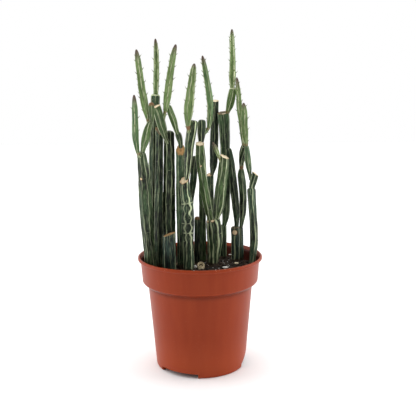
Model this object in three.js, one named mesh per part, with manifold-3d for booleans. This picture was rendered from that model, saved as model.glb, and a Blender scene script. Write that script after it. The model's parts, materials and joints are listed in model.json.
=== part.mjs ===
// Potted pickle plant: a clump of pruned, jointed succulent stems and young shoots,
// rooted in peat soil in a moulded plastic nursery pot.
//
// Millimetres, +Z up, +X to the right, +Y to the back. The origin is the centre of the pot's foot.

import * as THREE from "three";
import { mergeVertices } from "three/addons/utils/BufferGeometryUtils.js";
import Module from "manifold-3d";

const wasm = await Module();
wasm.setup();

// ---------------------------------------------------------------- driving dimensions

const POT_HEIGHT = 108;
const LIP_RADIUS = 60; // outside of the rolled lip
const LIP_HEIGHT = 3;
const LIP_INNER_RADIUS = 57.3;
const COLLAR_TOP_RADIUS = 57.5; // outside of the collar, just under the lip
const COLLAR_FOOT_RADIUS = 55.9;
const COLLAR_FOOT_Z = 84;
const STEP_RADIUS = 52.3; // the collar's chamfer ends here, above the step
const STEP_Z = 81;
const BODY_TOP_RADIUS = 50.6;
const BODY_FOOT_RADIUS = 44.4;
const BODY_FOOT_Z = 8;
const FOOT_RADIUS = 42.9;
const FOOT_RING_WIDTH = 2.9;
const WALL = 1.2;
const PLATE_Z = 4.5; // underside of the base plate
const PLATE_THICKNESS = 1.5;
const POT_SIDES = 60;

const RECESS_TOPS = { 0: 12.5, 120: 4.5, 240: 4.5 }; // height of each recess by its angle from +X, in degrees
const RECESS_HALF_WIDTH = 27; // degrees
const RECESS_SLOPE_WIDTH = 18; // degrees over which a recess rises from RECESS_SIDE_Z to its top
const RECESS_SIDE_Z = 4.2;
const RECESS_DEPTH_RADIUS = 39.5;

const DRAIN_COUNT = 6;
const DRAIN_RADIUS = 3;
const DRAIN_CIRCLE_RADIUS = 24;

const SOIL_Z = 96; // level of the soil's surface
const ROOT_Z = 88; // every rooted stem goes down to here
const GAP = 0.3; // between pieces that touch

const STEM_SIDES = 10;
const SHOOT_SIDES = 8;

// ---------------------------------------------------------------- finishes

const FINISH = {
  pot: { color: 0x9a4a2f, roughness: 0.45 },
  soil: { color: 0x2b201a, roughness: 1 },
  oldStem: { color: 0x4f6148, roughness: 0.5 },
  youngStem: { color: 0x7d8f55, roughness: 0.45 },
  bark: { color: 0x8a6a48, roughness: 0.9 },
  perlite: { color: 0xe6e2d8, roughness: 0.9 },
};

function finish(kind) {
  return new THREE.MeshStandardMaterial({ ...FINISH[kind], metalness: 0 });
}

const plant = new THREE.Group();

function add(name, geometry, kind) {
  const mesh = new THREE.Mesh(geometry, finish(kind));
  mesh.name = name;
  plant.add(mesh);
}

// ---------------------------------------------------------------- solids

// A closed geometry as a manifold-3d solid.
function solidFrom(geometry) {
  const bare = geometry.index ? geometry.toNonIndexed() : geometry.clone();
  bare.deleteAttribute("normal");
  bare.deleteAttribute("uv");
  const merged = mergeVertices(bare, 1e-4);
  return new wasm.Manifold(
    new wasm.Mesh({
      numProp: 3,
      vertProperties: new Float32Array(merged.attributes.position.array),
      triVerts: new Uint32Array(merged.index.array),
    }),
  );
}

function geometryFrom(solid) {
  const mesh = solid.getMesh();
  const geometry = new THREE.BufferGeometry();
  geometry.setAttribute("position", new THREE.BufferAttribute(mesh.vertProperties, 3));
  geometry.setIndex(new THREE.BufferAttribute(mesh.triVerts, 1));
  geometry.computeVertexNormals();
  return geometry;
}

// A solid turned about Z from [radius, z] points, listed from the axis round the outside and back to the axis.
function turned(profile, sides = POT_SIDES) {
  const points = profile.map(([radius, z]) => new THREE.Vector2(radius, z));
  return new THREE.LatheGeometry(points, sides).rotateX(Math.PI / 2);
}

// A closed block that sweeps a convex [radius, z] outline, anticlockwise, from one angle to another about Z.
// `outlineAt` gives the outline at each angle, always with the same number of corners.
function sector(outlineAt, fromDegrees, toDegrees, steps) {
  const positions = [];
  const indices = [];
  const corners = outlineAt(fromDegrees).length;
  for (let i = 0; i <= steps; i++) {
    const degrees = fromDegrees + ((toDegrees - fromDegrees) * i) / steps;
    const angle = THREE.MathUtils.degToRad(degrees);
    for (const [radius, z] of outlineAt(degrees)) {
      positions.push(radius * Math.cos(angle), radius * Math.sin(angle), z);
    }
  }
  for (let i = 0; i < steps; i++) {
    for (let j = 0; j < corners; j++) {
      const a = i * corners + j;
      const b = i * corners + ((j + 1) % corners);
      indices.push(a, a + corners, b + corners, a, b + corners, b);
    }
  }
  for (let j = 1; j < corners - 1; j++) {
    const last = steps * corners;
    indices.push(0, j, j + 1, last, last + j + 1, last + j);
  }
  const geometry = new THREE.BufferGeometry();
  geometry.setAttribute("position", new THREE.Float32BufferAttribute(positions, 3));
  geometry.setIndex(indices);
  return geometry;
}

// ---------------------------------------------------------------- stems

// A stem swept through [x, y, z, radius] stations from its foot to its top. `cut` is the normal of a
// slanting cut across the top, and `dome` raises the middle of the top by that many millimetres.
function stem(stations, { sides = STEM_SIDES, cut = null, dome = 0, grow = 0 } = {}) {
  const curve = new THREE.CatmullRomCurve3(stations.map(([x, y, z]) => new THREE.Vector3(x, y, z)));
  const spans = stations.length - 1;
  const places = [];
  for (let i = 0; i < spans; i++) {
    places.push(i / spans);
    if (stations[i + 1][2] - stations[i][2] > 15) places.push((i + 0.5) / spans);
  }
  places.push(1);

  const positions = [];
  const rings = places.length;
  for (const t of places) {
    const along = Math.min(t * spans, spans - 1e-9);
    const i = Math.floor(along);
    const radius = grow + THREE.MathUtils.lerp(stations[i][3], stations[i + 1][3], along - i);
    const centre = curve.getPoint(t);
    const ahead = curve.getTangent(t);
    const side = Math.abs(ahead.x) < 0.9 ? new THREE.Vector3(1, 0, 0) : new THREE.Vector3(0, 1, 0);
    const across = side.clone().addScaledVector(ahead, -ahead.dot(side)).normalize();
    const beside = new THREE.Vector3().crossVectors(ahead, across);
    for (let j = 0; j < sides; j++) {
      const angle = (2 * Math.PI * j) / sides;
      const out = across.clone().multiplyScalar(radius * Math.cos(angle));
      out.addScaledVector(beside, radius * Math.sin(angle));
      if (cut && t === 1) {
        const normal = new THREE.Vector3(...cut);
        out.addScaledVector(ahead, -out.dot(normal) / ahead.dot(normal));
      }
      positions.push(...centre.clone().add(out).toArray());
    }
  }

  const indices = [];
  for (let i = 0; i < rings - 1; i++) {
    for (let j = 0; j < sides; j++) {
      const a = i * sides + j;
      const b = i * sides + ((j + 1) % sides);
      indices.push(a, b, b + sides, a, b + sides, a + sides);
    }
  }
  const foot = curve.getPoint(0).addScaledVector(curve.getTangent(0), -grow);
  const top = curve.getPoint(1).addScaledVector(curve.getTangent(1), dome);
  const footCentre = rings * sides;
  positions.push(...foot.toArray(), ...top.toArray());
  for (let j = 0; j < sides; j++) {
    const k = (j + 1) % sides;
    const last = (rings - 1) * sides;
    indices.push(footCentre, k, j, footCentre + 1, last + j, last + k);
  }
  const geometry = new THREE.BufferGeometry();
  geometry.setAttribute("position", new THREE.Float32BufferAttribute(positions, 3));
  geometry.setIndex(indices);
  geometry.computeVertexNormals();
  return geometry;
}

// Old stems that root in the soil. Each starts at ROOT_Z.
const ROOTED = {
  left_stem: {
    path: [[-46.5, -12, ROOT_Z, 4.9], [-47, -12.5, 105, 5.1], [-49, -17, 141, 5.6], [-49.5, -24, 171, 5.5],
      [-49.5, -30, 193, 5.1], [-51, -34, 210.5, 3.8]],
    dome: 1,
  },
  back_left_stem: {
    path: [[-45.5, 12, ROOT_Z, 4.4], [-46, 11, 136, 4.4], [-45, 10, 171, 4.4], [-43.5, 9, 210, 4.3],
      [-40.5, 8, 261.5, 4.1]],
  },
  slant_cut_stem: {
    path: [[-41, -3, ROOT_Z, 4.2], [-39.5, -2, 139, 4.1], [-38.5, -1, 172, 4], [-37.5, 1, 210, 3.8],
      [-37, 1, 227, 3.8]],
    cut: [0.6, -0.35, 0.7],
  },
  thin_left_stub: {
    path: [[-37.5, 14, ROOT_Z, 2.7], [-37, 13, 130, 2.7], [-36.5, 12, 167.5, 2.7]],
    dome: 0.6,
  },
  thick_left_stem: {
    path: [[-30, 4, ROOT_Z, 5.9], [-29.5, 3, 137, 5.6], [-28.5, 2, 181, 5.2], [-28, 1, 227, 4.6]],
    dome: 1,
  },
  front_left_stump: {
    path: [[-28.5, -20, ROOT_Z, 6], [-28.5, -20, 103, 6.1], [-28, -21, 133, 5.7]],
    cut: [-0.32, 0, 0.95],
  },
  tan_cut_stem: {
    path: [[-18, -5, ROOT_Z, 3.9], [-17.5, -5, 134, 4], [-17.5, -5, 172, 4.3], [-17, -5, 199, 4.2],
      [-17, -5, 210, 4.2]],
    cut: [0, -0.74, 0.67],
  },
  front_stem: {
    path: [[-10.5, -15, ROOT_Z, 4.7], [-10.5, -15, 123, 4.6], [-11, -15, 141, 5.9], [-11, -15, 160, 5.6],
      [-12.7, -16, 169.5, 4.4], [-13.6, -17, 183, 4.2]],
    cut: [-0.3, -0.55, 0.78],
  },
  leaning_stem: {
    path: [[-11, 3, ROOT_Z, 3.4], [-10, 5, 137, 3.2], [-8.5, 7, 161, 2.9], [-5.5, 9, 182, 3.4],
      [-4.5, 9.5, 202.5, 3]],
    dome: 0.8,
  },
  thin_middle_stub: {
    path: [[-3, 9.5, ROOT_Z, 2.7], [-3, 9.5, 115, 2.7], [-2.6, 9.5, 143.5, 2.5]],
    dome: 0.6,
  },
  dark_middle_stem: {
    path: [[2.5, 16, ROOT_Z, 3.6], [2.5, 18, 142, 3.6], [3, 20.5, 181, 3.7], [3, 22, 198.5, 3.2]],
    dome: 0.8,
  },
  knuckled_stump: {
    path: [[12, 7, ROOT_Z, 4.6], [12.2, 7, 98, 4.9], [13.2, 7, 106, 5.5], [14.4, 7, 116, 6.5],
      [14, 6, 131.5, 7.2], [13, 5, 142.5, 6.4]],
  },
  back_middle_stump: {
    path: [[23, 33, ROOT_Z, 3.6], [23, 33, 110, 3.6], [23, 33, 130.5, 3.7]],
  },
  hidden_back_stem: {
    path: [[11, 36, ROOT_Z, 3.9], [10.5, 36, 130, 3.8], [10.5, 36, 166, 3.6], [10.5, 36, 182, 3.5]],
    cut: [-0.2, -0.35, 0.92],
  },
  right_stump: {
    path: [[35.5, 20, ROOT_Z, 4.2], [35.5, 20, 108, 4.3], [35, 20, 131.5, 4.3]],
  },
  thin_right_stub: {
    path: [[41, 26, ROOT_Z, 2.5], [41, 26, 108, 2.6], [40.5, 26, 130, 2.5]],
  },
  far_right_stem: {
    path: [[49.8, 2.5, ROOT_Z, 2.8], [50.8, 3, 100, 2.9], [52.5, 5, 116, 3.7], [52.5, 6, 133, 3.7],
      [51.5, 6, 148, 3.8], [50.5, 7, 161.5, 4], [50, 8, 171.5, 3.9]],
  },
};

// Old segments, each jointed by a narrow neck on the stem below it.
const SEGMENTS = {
  left_stem_branch: {
    path: [[-49.5, -33, 213.2, 2.1], [-47.5, -31, 220.5, 4], [-45, -29, 230.5, 3.6], [-43, -28, 236.5, 2.7]],
  },
  left_callus_stub: {
    path: [[-41.5, -28.8, 237.4, 1.4], [-41.3, -29, 241, 2.4], [-41.3, -29, 253.5, 2.5]],
    dome: 1,
  },
  thick_left_branch: {
    path: [[-31, -5.8, 221.5, 1.9], [-33, -10, 229.5, 4.1], [-36, -12, 241.5, 4.4], [-38.5, -13, 250.5, 4.1]],
    cut: [-0.35, -0.25, 0.9],
  },
  tan_cut_knuckle: {
    path: [[-17, -1, 215.4, 2], [-18.3, -1, 221.5, 3.5], [-20, -1, 226, 2.8]],
  },
  tan_cut_branch: {
    path: [[-20.6, -2, 227, 2], [-23, -6, 237.5, 3.2], [-26, -7, 245.5, 3], [-27.5, -7, 251, 2.5]],
    dome: 0.6,
  },
  front_branch: {
    path: [[-11, -15.6, 186.6, 2.1], [-10.2, -16.5, 194, 3.3], [-9.5, -17, 204, 3.7], [-8, -18, 218.5, 4],
      [-6, -18, 229.5, 4.6], [-5, -18, 237.5, 4.7]],
  },
  left_arm: {
    path: [[9.9, 1.6, 143.6, 2.4], [8.9, 0, 151, 3.9], [7.3, -1, 160, 4.3], [4.5, -3, 174, 4.3],
      [3, -5, 186.5, 4], [1.4, -7, 203, 4.7], [1, -9, 216, 3.9]],
    cut: [0, -0.45, 0.9],
  },
  right_arm: {
    path: [[16.4, 4.6, 143.6, 2.4], [17.7, 4, 150.5, 4.7], [18.7, 4, 158, 5.2], [20.6, 3, 173, 5.1],
      [22.4, 1, 187, 4.6], [24, -1, 203, 4.2]],
    cut: [0.4, -0.25, 0.88],
  },
  left_arm_branch: {
    path: [[2, -2.3, 216, 2.1], [2.4, -0.4, 222, 3.6], [2.6, 2, 228.5, 4.2], [3, 3, 237, 4]],
    dome: 0.8,
  },
  back_middle_branch: {
    path: [[24.5, 32.5, 131, 2], [26, 31, 140, 3.7], [26, 30.5, 152, 4.2], [26, 29, 172.5, 4.5],
      [25.5, 27, 197.5, 4.6], [25, 25, 222.5, 4.8], [24, 24, 239, 5.4], [23.5, 24, 243.5, 5.5]],
    cut: [-0.1, -0.25, 0.96],
  },
  pale_topped_branch: {
    path: [[12.4, 35, 182.8, 1.7], [13.8, 33.5, 191, 4], [14.5, 33, 207, 4.4], [15, 32, 227, 4.2],
      [15.5, 31, 241.5, 3.8], [16, 30, 255, 3.3]],
    cut: [0, -0.3, 0.95],
  },
  right_dark_branch: {
    path: [[36.4, 19, 132, 2], [36.2, 18, 146, 3.7], [34.8, 18, 159, 3.8], [33, 18, 177, 3.9],
      [30.5, 17, 196.5, 3.6], [28.5, 17, 209, 2.9]],
    dome: 0.8,
  },
  right_branch: {
    path: [[41.2, 26, 130.6, 1.7], [43, 26, 144.5, 3.5], [43, 24, 158, 3.7], [42, 21, 173.5, 3.8],
      [40.7, 19, 183.5, 3.9], [41, 18, 190, 2.2]],
  },
  right_branch_joint: {
    path: [[41, 18, 190.6, 1.7], [41.5, 18, 199.5, 3.4], [42.5, 18, 207, 3.2], [43, 18, 212.5, 2.2]],
  },
  far_right_elbow: {
    path: [[50.5, 8, 172.6, 2.6], [52, 8, 178.5, 3.6], [54, 8.5, 185.5, 3.4]],
    cut: [0.6, -0.1, 0.8],
  },
  far_right_branch: {
    path: [[48.5, 9, 184.8, 1.3], [47.9, 9, 189.5, 2.6], [46.8, 9, 198, 3], [46, 9, 207, 2.6],
      [45.5, 9, 212.5, 1.9]],
  },
};

// Young shoots, each tapering to a rounded point.
const SHOOTS = {
  left_low_shoot: [[-53.2, -39.8, 209.5, 1.4], [-54.7, -41, 222.5, 2.8], [-54.7, -41, 239.5, 2.6],
    [-54.7, -42, 254.5, 1.9], [-55, -42, 260.4, 0.6]],
  left_tall_shoot: [[-44.8, -26.8, 238.2, 1.3], [-47.5, -25, 250.5, 3.3], [-50, -24, 265.5, 3.1],
    [-51.5, -24, 279, 2.7], [-53, -24, 292, 2.2], [-54, -24, 299.9, 0.6]],
  back_left_tall_shoot: [[-40.2, 8, 262, 2.1], [-39.5, 8, 275, 2.7], [-39, 8, 289, 2.4],
    [-39, 8, 302.5, 2.1], [-39.5, 8, 311.9, 0.6]],
  thick_left_tall_shoot: [[-30.5, -13, 245, 1.3], [-28.5, -13, 256.5, 3.4], [-26.5, -13, 270, 3.2],
    [-24.5, -13, 283, 2.8], [-22, -13, 296.5, 2.3], [-19.7, -13, 304.9, 0.6]],
  front_fat_shoot: [[-9.4, -24.2, 231.5, 1.5], [-9.2, -25.4, 238, 2.8], [-8.8, -25.5, 245, 4.1],
    [-7, -25.5, 261, 3.6], [-5, -25, 274, 2.8], [-3, -25, 287.3, 0.7]],
  middle_tall_shoot: [[9, 3, 228.5, 1.4], [10, 3, 236, 2.4], [11, 3, 249, 3], [10, 3, 261, 2.9],
    [8, 3, 273, 2.6], [6, 3, 285.5, 2.1], [4, 3, 295.9, 0.6]],
  right_arm_bud: [[19.2, -4.5, 202, 1.1], [16.5, -6, 210, 2.2], [14, -7, 214.5, 1.8], [13, -7, 217, 0.6]],
  tallest_shoot_joint: [[27.7, 22.4, 244.4, 1.9], [30.3, 21, 251.5, 4], [32, 21, 261, 4.1], [33, 21, 267, 3.3]],
  tallest_shoot: [[32.3, 21, 268, 1.9], [32.2, 21, 275, 3.3], [32.6, 21, 293.5, 2.7], [32, 21, 310.5, 2.2],
    [32, 21, 321.2, 0.6]],
  right_tall_shoot: [[43, 17.5, 213.2, 1.4], [42.5, 17, 224.5, 2.9], [41.5, 17, 234, 2.9],
    [39, 17, 249.5, 2.8], [38.5, 17, 258, 2.2], [37.5, 17, 267.5, 1.6], [36.5, 17, 276.4, 0.5]],
  far_right_short_shoot: [[45.2, 9, 213.2, 1.4], [44, 9, 222, 2.9], [43.5, 9, 232.5, 2.9], [43.5, 9, 242, 2.6],
    [43, 9, 248.5, 1.8], [42.5, 9, 252.5, 0.6]],
};

// ---------------------------------------------------------------- pot

const BODY_SLOPE = (BODY_TOP_RADIUS - BODY_FOOT_RADIUS) / (STEP_Z - BODY_FOOT_Z);

function potOutside() {
  return turned([
    [0, 0],
    [FOOT_RADIUS, 0],
    [FOOT_RADIUS + 1, 1.2],
    [BODY_FOOT_RADIUS, BODY_FOOT_Z],
    [BODY_TOP_RADIUS, STEP_Z - GAP],
    [STEP_RADIUS, STEP_Z],
    [COLLAR_FOOT_RADIUS, COLLAR_FOOT_Z],
    [COLLAR_TOP_RADIUS, POT_HEIGHT - LIP_HEIGHT],
    [LIP_RADIUS - 0.6, POT_HEIGHT - LIP_HEIGHT],
    [LIP_RADIUS, POT_HEIGHT - LIP_HEIGHT + 0.8],
    [LIP_RADIUS, POT_HEIGHT - 1],
    [LIP_RADIUS - 1, POT_HEIGHT],
    [0, POT_HEIGHT],
  ]);
}

// The space inside the pot, from the base plate up and out through the rim.
function potInside() {
  const floor = PLATE_Z + PLATE_THICKNESS;
  return turned([
    [0, floor],
    [BODY_FOOT_RADIUS - WALL - 2, floor],
    [BODY_FOOT_RADIUS - WALL, floor + 2],
    [BODY_TOP_RADIUS - WALL, STEP_Z],
    [COLLAR_FOOT_RADIUS - WALL, COLLAR_FOOT_Z + 0.5],
    [COLLAR_TOP_RADIUS - WALL, POT_HEIGHT - LIP_HEIGHT - 1],
    [LIP_INNER_RADIUS, POT_HEIGHT - 1],
    [LIP_INNER_RADIUS + 1, POT_HEIGHT + 1],
    [0, POT_HEIGHT + 1],
  ]);
}

// One recess in the foot of the wall, with sloping shoulders. `shift` grows it into the pot by that much.
function recess(middle, top, shift) {
  const half = RECESS_HALF_WIDTH + THREE.MathUtils.radToDeg(shift / FOOT_RADIUS);
  const outlineAt = (degrees) => {
    const fromEnd = half - Math.abs(degrees - middle);
    const rise = Math.min(fromEnd / RECESS_SLOPE_WIDTH, 1);
    const roof = shift + THREE.MathUtils.lerp(RECESS_SIDE_Z, top, rise);
    return [
      [RECESS_DEPTH_RADIUS - shift, -1],
      [LIP_RADIUS, -1],
      [LIP_RADIUS, roof],
      [RECESS_DEPTH_RADIUS - shift, roof],
    ];
  };
  return solidFrom(sector(outlineAt, middle - half, middle + half, 12));
}

function drainHole(x, y) {
  const hole = new THREE.CylinderGeometry(DRAIN_RADIUS, DRAIN_RADIUS, 12, 16).rotateX(Math.PI / 2);
  return solidFrom(hole.translate(x, y, PLATE_Z));
}

function makePot() {
  const underside = solidFrom(
    turned([
      [0, -1],
      [FOOT_RADIUS - FOOT_RING_WIDTH + 0.5, -1],
      [FOOT_RADIUS - FOOT_RING_WIDTH, PLATE_Z],
      [0, PLATE_Z],
    ]),
  );
  let outside = solidFrom(potOutside()).subtract(underside);
  let inside = solidFrom(potInside());
  for (const [angle, top] of Object.entries(RECESS_TOPS)) {
    outside = outside.subtract(recess(Number(angle), top, 0));
    inside = inside.subtract(recess(Number(angle), top, WALL));
  }
  let pot = outside.subtract(inside).subtract(drainHole(0, 0));
  for (let i = 0; i < DRAIN_COUNT; i++) {
    const angle = (2 * Math.PI * (i + 0.5)) / DRAIN_COUNT;
    pot = pot.subtract(drainHole(DRAIN_CIRCLE_RADIUS * Math.cos(angle), DRAIN_CIRCLE_RADIUS * Math.sin(angle)));
  }
  add("pot", geometryFrom(pot), "pot");
}

// ---------------------------------------------------------------- soil

const SOIL_MARGIN = WALL + GAP; // between the soil and the outside of the wall
const SOIL_FOOT_Z = 15; // below this the soil draws in, clear of the recesses
const SOIL_FOOT_RADIUS = RECESS_DEPTH_RADIUS - SOIL_MARGIN - 0.3;

function makeSoil() {
  const bottom = PLATE_Z + PLATE_THICKNESS + GAP;
  let soil = solidFrom(
    turned([
      [0, bottom],
      [SOIL_FOOT_RADIUS, bottom],
      [SOIL_FOOT_RADIUS, SOIL_FOOT_Z - 0.8],
      [BODY_FOOT_RADIUS + (SOIL_FOOT_Z - BODY_FOOT_Z) * BODY_SLOPE - SOIL_MARGIN, SOIL_FOOT_Z],
      [BODY_TOP_RADIUS - SOIL_MARGIN, STEP_Z],
      [COLLAR_FOOT_RADIUS - SOIL_MARGIN, COLLAR_FOOT_Z + 0.8],
      [COLLAR_FOOT_RADIUS - SOIL_MARGIN + 0.5, SOIL_Z - 1.5],
      [46, SOIL_Z - 0.4],
      [20, SOIL_Z],
      [0, SOIL_Z],
    ]),
  );
  for (const { path } of Object.values(ROOTED)) {
    const socket = stem(path.slice(0, 2), { grow: GAP + 0.1 });
    soil = soil.subtract(solidFrom(socket));
  }
  add("soil", geometryFrom(soil), "soil");
}

// ---------------------------------------------------------------- things lying on the soil

// A low block with an irregular outline, a flat foot and a smaller top.
function crumb(x, y, size, height, sides, turn = 0) {
  const rise = SOIL_Z + GAP;
  const stations = [
    [x, y, rise, size],
    [x, y, rise + height * 0.5, size * 1.1],
    [x, y, rise + height, size * 0.6],
  ];
  const block = stem(stations, { sides });
  return block.translate(-x, -y, 0).rotateZ(turn).scale(1.2, 0.85, 1).translate(x, y, 0);
}

function makeLitter() {
  const rise = SOIL_Z + GAP;
  const stump = [[0.7, -4.4, rise, 3.3], [0.7, -4.4, rise + 3.4, 3.5]];
  add("cut_stump", stem(stump, { sides: 6, cut: [0, -0.5, 0.86] }), "oldStem");
  const chip = new THREE.BoxGeometry(3.8, 2.6, 1.4).rotateZ(-0.5).translate(35.5, 8.5, rise + 0.7);
  add("bark_chip", chip, "bark");
  const twig = [[-21.5, 13, rise + 1.4, 0.7], [-22.8, 7, rise + 1.1, 0.8], [-24, 1, rise + 1, 0.7]];
  add("twig", stem(twig, { sides: 6 }), "bark");
  add("perlite_left", crumb(-4.6, -6.8, 1.2, 2.6, 7), "perlite");
  add("perlite_right", crumb(24.3, -8, 2.1, 1.8, 7, 0.6), "perlite");
  add("perlite_back", crumb(30.8, 43, 1.3, 1.4, 6, 1.1), "perlite");
}

// ---------------------------------------------------------------- the whole plant

makePot();
makeSoil();
for (const [name, { path, ...top }] of Object.entries({ ...ROOTED, ...SEGMENTS })) {
  add(name, stem(path, top), "oldStem");
}
for (const [name, path] of Object.entries(SHOOTS)) {
  add(name, stem(path, { sides: SHOOT_SIDES, dome: 0.5 }), "youngStem");
}
makeLitter();

export default plant;
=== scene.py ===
# %% [markdown]
# # Potted pickle plant
# A pickle plant grows as upright, ribbed succulent stems. Each stem is a chain of segments that are joined
# by narrow necks, and young shoots rise from the old, pruned ones. The plant stands in a moulded plastic
# nursery pot with a deep collar, filled with peat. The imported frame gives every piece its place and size,
# and this lesson gives each piece its fine shape and its finish.

# %% The frame
import bpy
import bmesh
import json
import math
import numpy as np
from mathutils import Matrix, Vector, noise

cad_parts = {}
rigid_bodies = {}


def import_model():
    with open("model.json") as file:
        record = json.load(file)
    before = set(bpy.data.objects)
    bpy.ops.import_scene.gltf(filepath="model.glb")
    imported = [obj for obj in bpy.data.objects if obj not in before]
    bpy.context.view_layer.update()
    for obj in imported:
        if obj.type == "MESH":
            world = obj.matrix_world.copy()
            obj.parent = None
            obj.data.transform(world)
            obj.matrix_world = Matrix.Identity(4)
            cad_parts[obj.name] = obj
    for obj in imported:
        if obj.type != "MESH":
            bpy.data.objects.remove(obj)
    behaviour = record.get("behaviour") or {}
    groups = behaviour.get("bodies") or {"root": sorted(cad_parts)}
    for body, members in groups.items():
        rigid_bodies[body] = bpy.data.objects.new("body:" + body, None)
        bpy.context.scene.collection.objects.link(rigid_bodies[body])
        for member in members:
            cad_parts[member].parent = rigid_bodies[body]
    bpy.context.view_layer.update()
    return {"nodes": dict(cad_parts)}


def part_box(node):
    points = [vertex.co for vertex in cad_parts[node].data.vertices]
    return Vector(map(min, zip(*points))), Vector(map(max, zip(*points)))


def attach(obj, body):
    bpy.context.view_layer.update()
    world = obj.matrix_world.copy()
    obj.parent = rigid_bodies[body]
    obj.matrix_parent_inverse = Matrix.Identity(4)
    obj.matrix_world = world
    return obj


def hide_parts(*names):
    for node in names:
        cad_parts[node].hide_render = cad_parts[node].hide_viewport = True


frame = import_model()
scene = bpy.context.scene
MM = 0.001
print("pieces in the frame:", len(frame["nodes"]))

# %% [markdown]
# ## Camera
# The plant is seen from the front and a little above, as on a table. The camera stands more than half a
# metre away, which keeps the tall stems nearly parallel, and looks down by about ten degrees. It comes
# first, because everything after it is judged through it.

# %% Camera
CAMERA_PLACE = (0.0089, -0.600, 0.2574)
CAMERA_PITCH = 9.79  # degrees below the horizon
CAMERA_ROLL = 0.46
LENS = 55  # mm, and so is the sensor's width
SENSOR_WIDTH = 36


def linked(name, data):
    """A new object that is linked to the scene."""
    made = bpy.data.objects.new(name, data)
    scene.collection.objects.link(made)
    return made


camera = linked("camera", bpy.data.cameras.new("camera"))
camera.data.lens = LENS
camera.data.sensor_width = SENSOR_WIDTH
camera.location = CAMERA_PLACE
camera.rotation_euler = (math.radians(90 - CAMERA_PITCH), math.radians(CAMERA_ROLL), 0)
scene.camera = camera
print("camera height above the table, mm:", round(CAMERA_PLACE[2] / MM))

# %% [markdown]
# ## Light and table
# Product studios light a small plant from a bright white surround, so that the table almost vanishes. The
# wall behind the camera is dim, which keeps the front of round things rich and lets their edges glow, and
# the ceiling is the brightest part. A world whose brightness depends on direction does all of that. The
# room itself is plain white wherever it is looked at directly, so that the backdrop is the same from all
# sides. Two soft panels at the sides add a little shape. The colours are kept as they are by the standard
# view, with no film curve over them.

# %% Light and table
FRONT_WALL = 0.2  # brightness of the wall behind the camera, where the back wall's is 1
WALL_TURN = (-0.75, 0.25)  # the Y of a direction where the dim wall ends and where the bright one starts
CEILING = 1.3
CEILING_FOCUS = 3  # the higher it is, the more of the ceiling's light comes from straight above
PLANT_MIDDLE = (0, 0, 0.15)
PANEL_OUT = 1.1
PANEL_BACK = 0.1
PANEL_HEIGHT = 0.45
PANEL_SIZE = 0.8
PANEL_POWER = 5  # watts
TABLE_SIZE = 6
scene.view_settings.view_transform = "Standard"


def make_studio():
    """A white room, dim behind the camera and brightest overhead."""
    world = bpy.data.worlds.new("studio")
    world.use_nodes = True
    tree = world.node_tree
    background = tree.nodes["Background"]
    background.inputs["Color"].default_value = (1, 1, 1, 1)
    direction = tree.nodes.new("ShaderNodeTexCoord")
    split = tree.nodes.new("ShaderNodeSeparateXYZ")
    walls = tree.nodes.new("ShaderNodeMapRange")
    walls.interpolation_type = "SMOOTHSTEP"
    start, end = WALL_TURN
    for socket, value in (("From Min", start), ("From Max", end), ("To Min", FRONT_WALL), ("To Max", 1.0)):
        walls.inputs[socket].default_value = value
    upward, focused, total = [tree.nodes.new("ShaderNodeMath") for _ in range(3)]
    steps = ((upward, "MAXIMUM", 0), (focused, "POWER", CEILING_FOCUS), (total, "MULTIPLY_ADD", CEILING))
    for made, operation, value in steps:
        made.operation = operation
        made.inputs[1].default_value = value
    tree.links.new(direction.outputs["Generated"], split.inputs[0])
    tree.links.new(split.outputs["Y"], walls.inputs["Value"])
    tree.links.new(split.outputs["Z"], upward.inputs[0])
    tree.links.new(upward.outputs[0], focused.inputs[0])
    tree.links.new(focused.outputs[0], total.inputs[0])
    tree.links.new(walls.outputs["Result"], total.inputs[2])
    rays = tree.nodes.new("ShaderNodeLightPath")
    seen = tree.nodes.new("ShaderNodeMix")
    seen.inputs[3].default_value = 1.0
    tree.links.new(rays.outputs["Is Camera Ray"], seen.inputs[0])
    tree.links.new(total.outputs[0], seen.inputs[2])
    tree.links.new(seen.outputs[0], background.inputs["Strength"])
    return world


scene.world = make_studio()


def panel(name, place, size, power):
    """A square soft light that faces the middle of the plant."""
    light = bpy.data.lights.new(name, "AREA")
    light.shape = "SQUARE"
    light.size = size
    light.energy = power
    lamp = linked(name, light)
    lamp.location = place
    lamp.rotation_euler = (Vector(place) - Vector(PLANT_MIDDLE)).to_track_quat("Z", "Y").to_euler()


for name, side in (("left_panel", -1), ("right_panel", 1)):
    panel(name, (side * PANEL_OUT, PANEL_BACK, PANEL_HEIGHT), PANEL_SIZE, PANEL_POWER)


def new_mesh(name, points, faces):
    mesh = bpy.data.meshes.new(name)
    mesh.from_pydata(points, [], faces)
    return mesh


half = TABLE_SIZE / 2
corners = [(-half, -half, 0), (half, -half, 0), (half, half, 0), (-half, half, 0)]
table = new_mesh("table", corners, [(0, 1, 2, 3)])
floor = linked("table", table)
print("table side, m:", TABLE_SIZE)

# %% [markdown]
# ## Finishes as node graphs
# Every finish here is a Principled surface with a small graph of noises in front of it. Building the
# graph node by node is long, so a short class adds one node a call and gives back its output. Colours are
# written as on a paint chart and turned into the linear values that shaders use.

# %% Node helper


def chart(red, green, blue):
    """A colour from 0 to 255, as the linear colour of a shader."""
    parts = [part / 255 for part in (red, green, blue)]
    return (*[c / 12.92 if c <= 0.04045 else ((c + 0.055) / 1.055) ** 2.4 for c in parts], 1.0)


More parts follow.
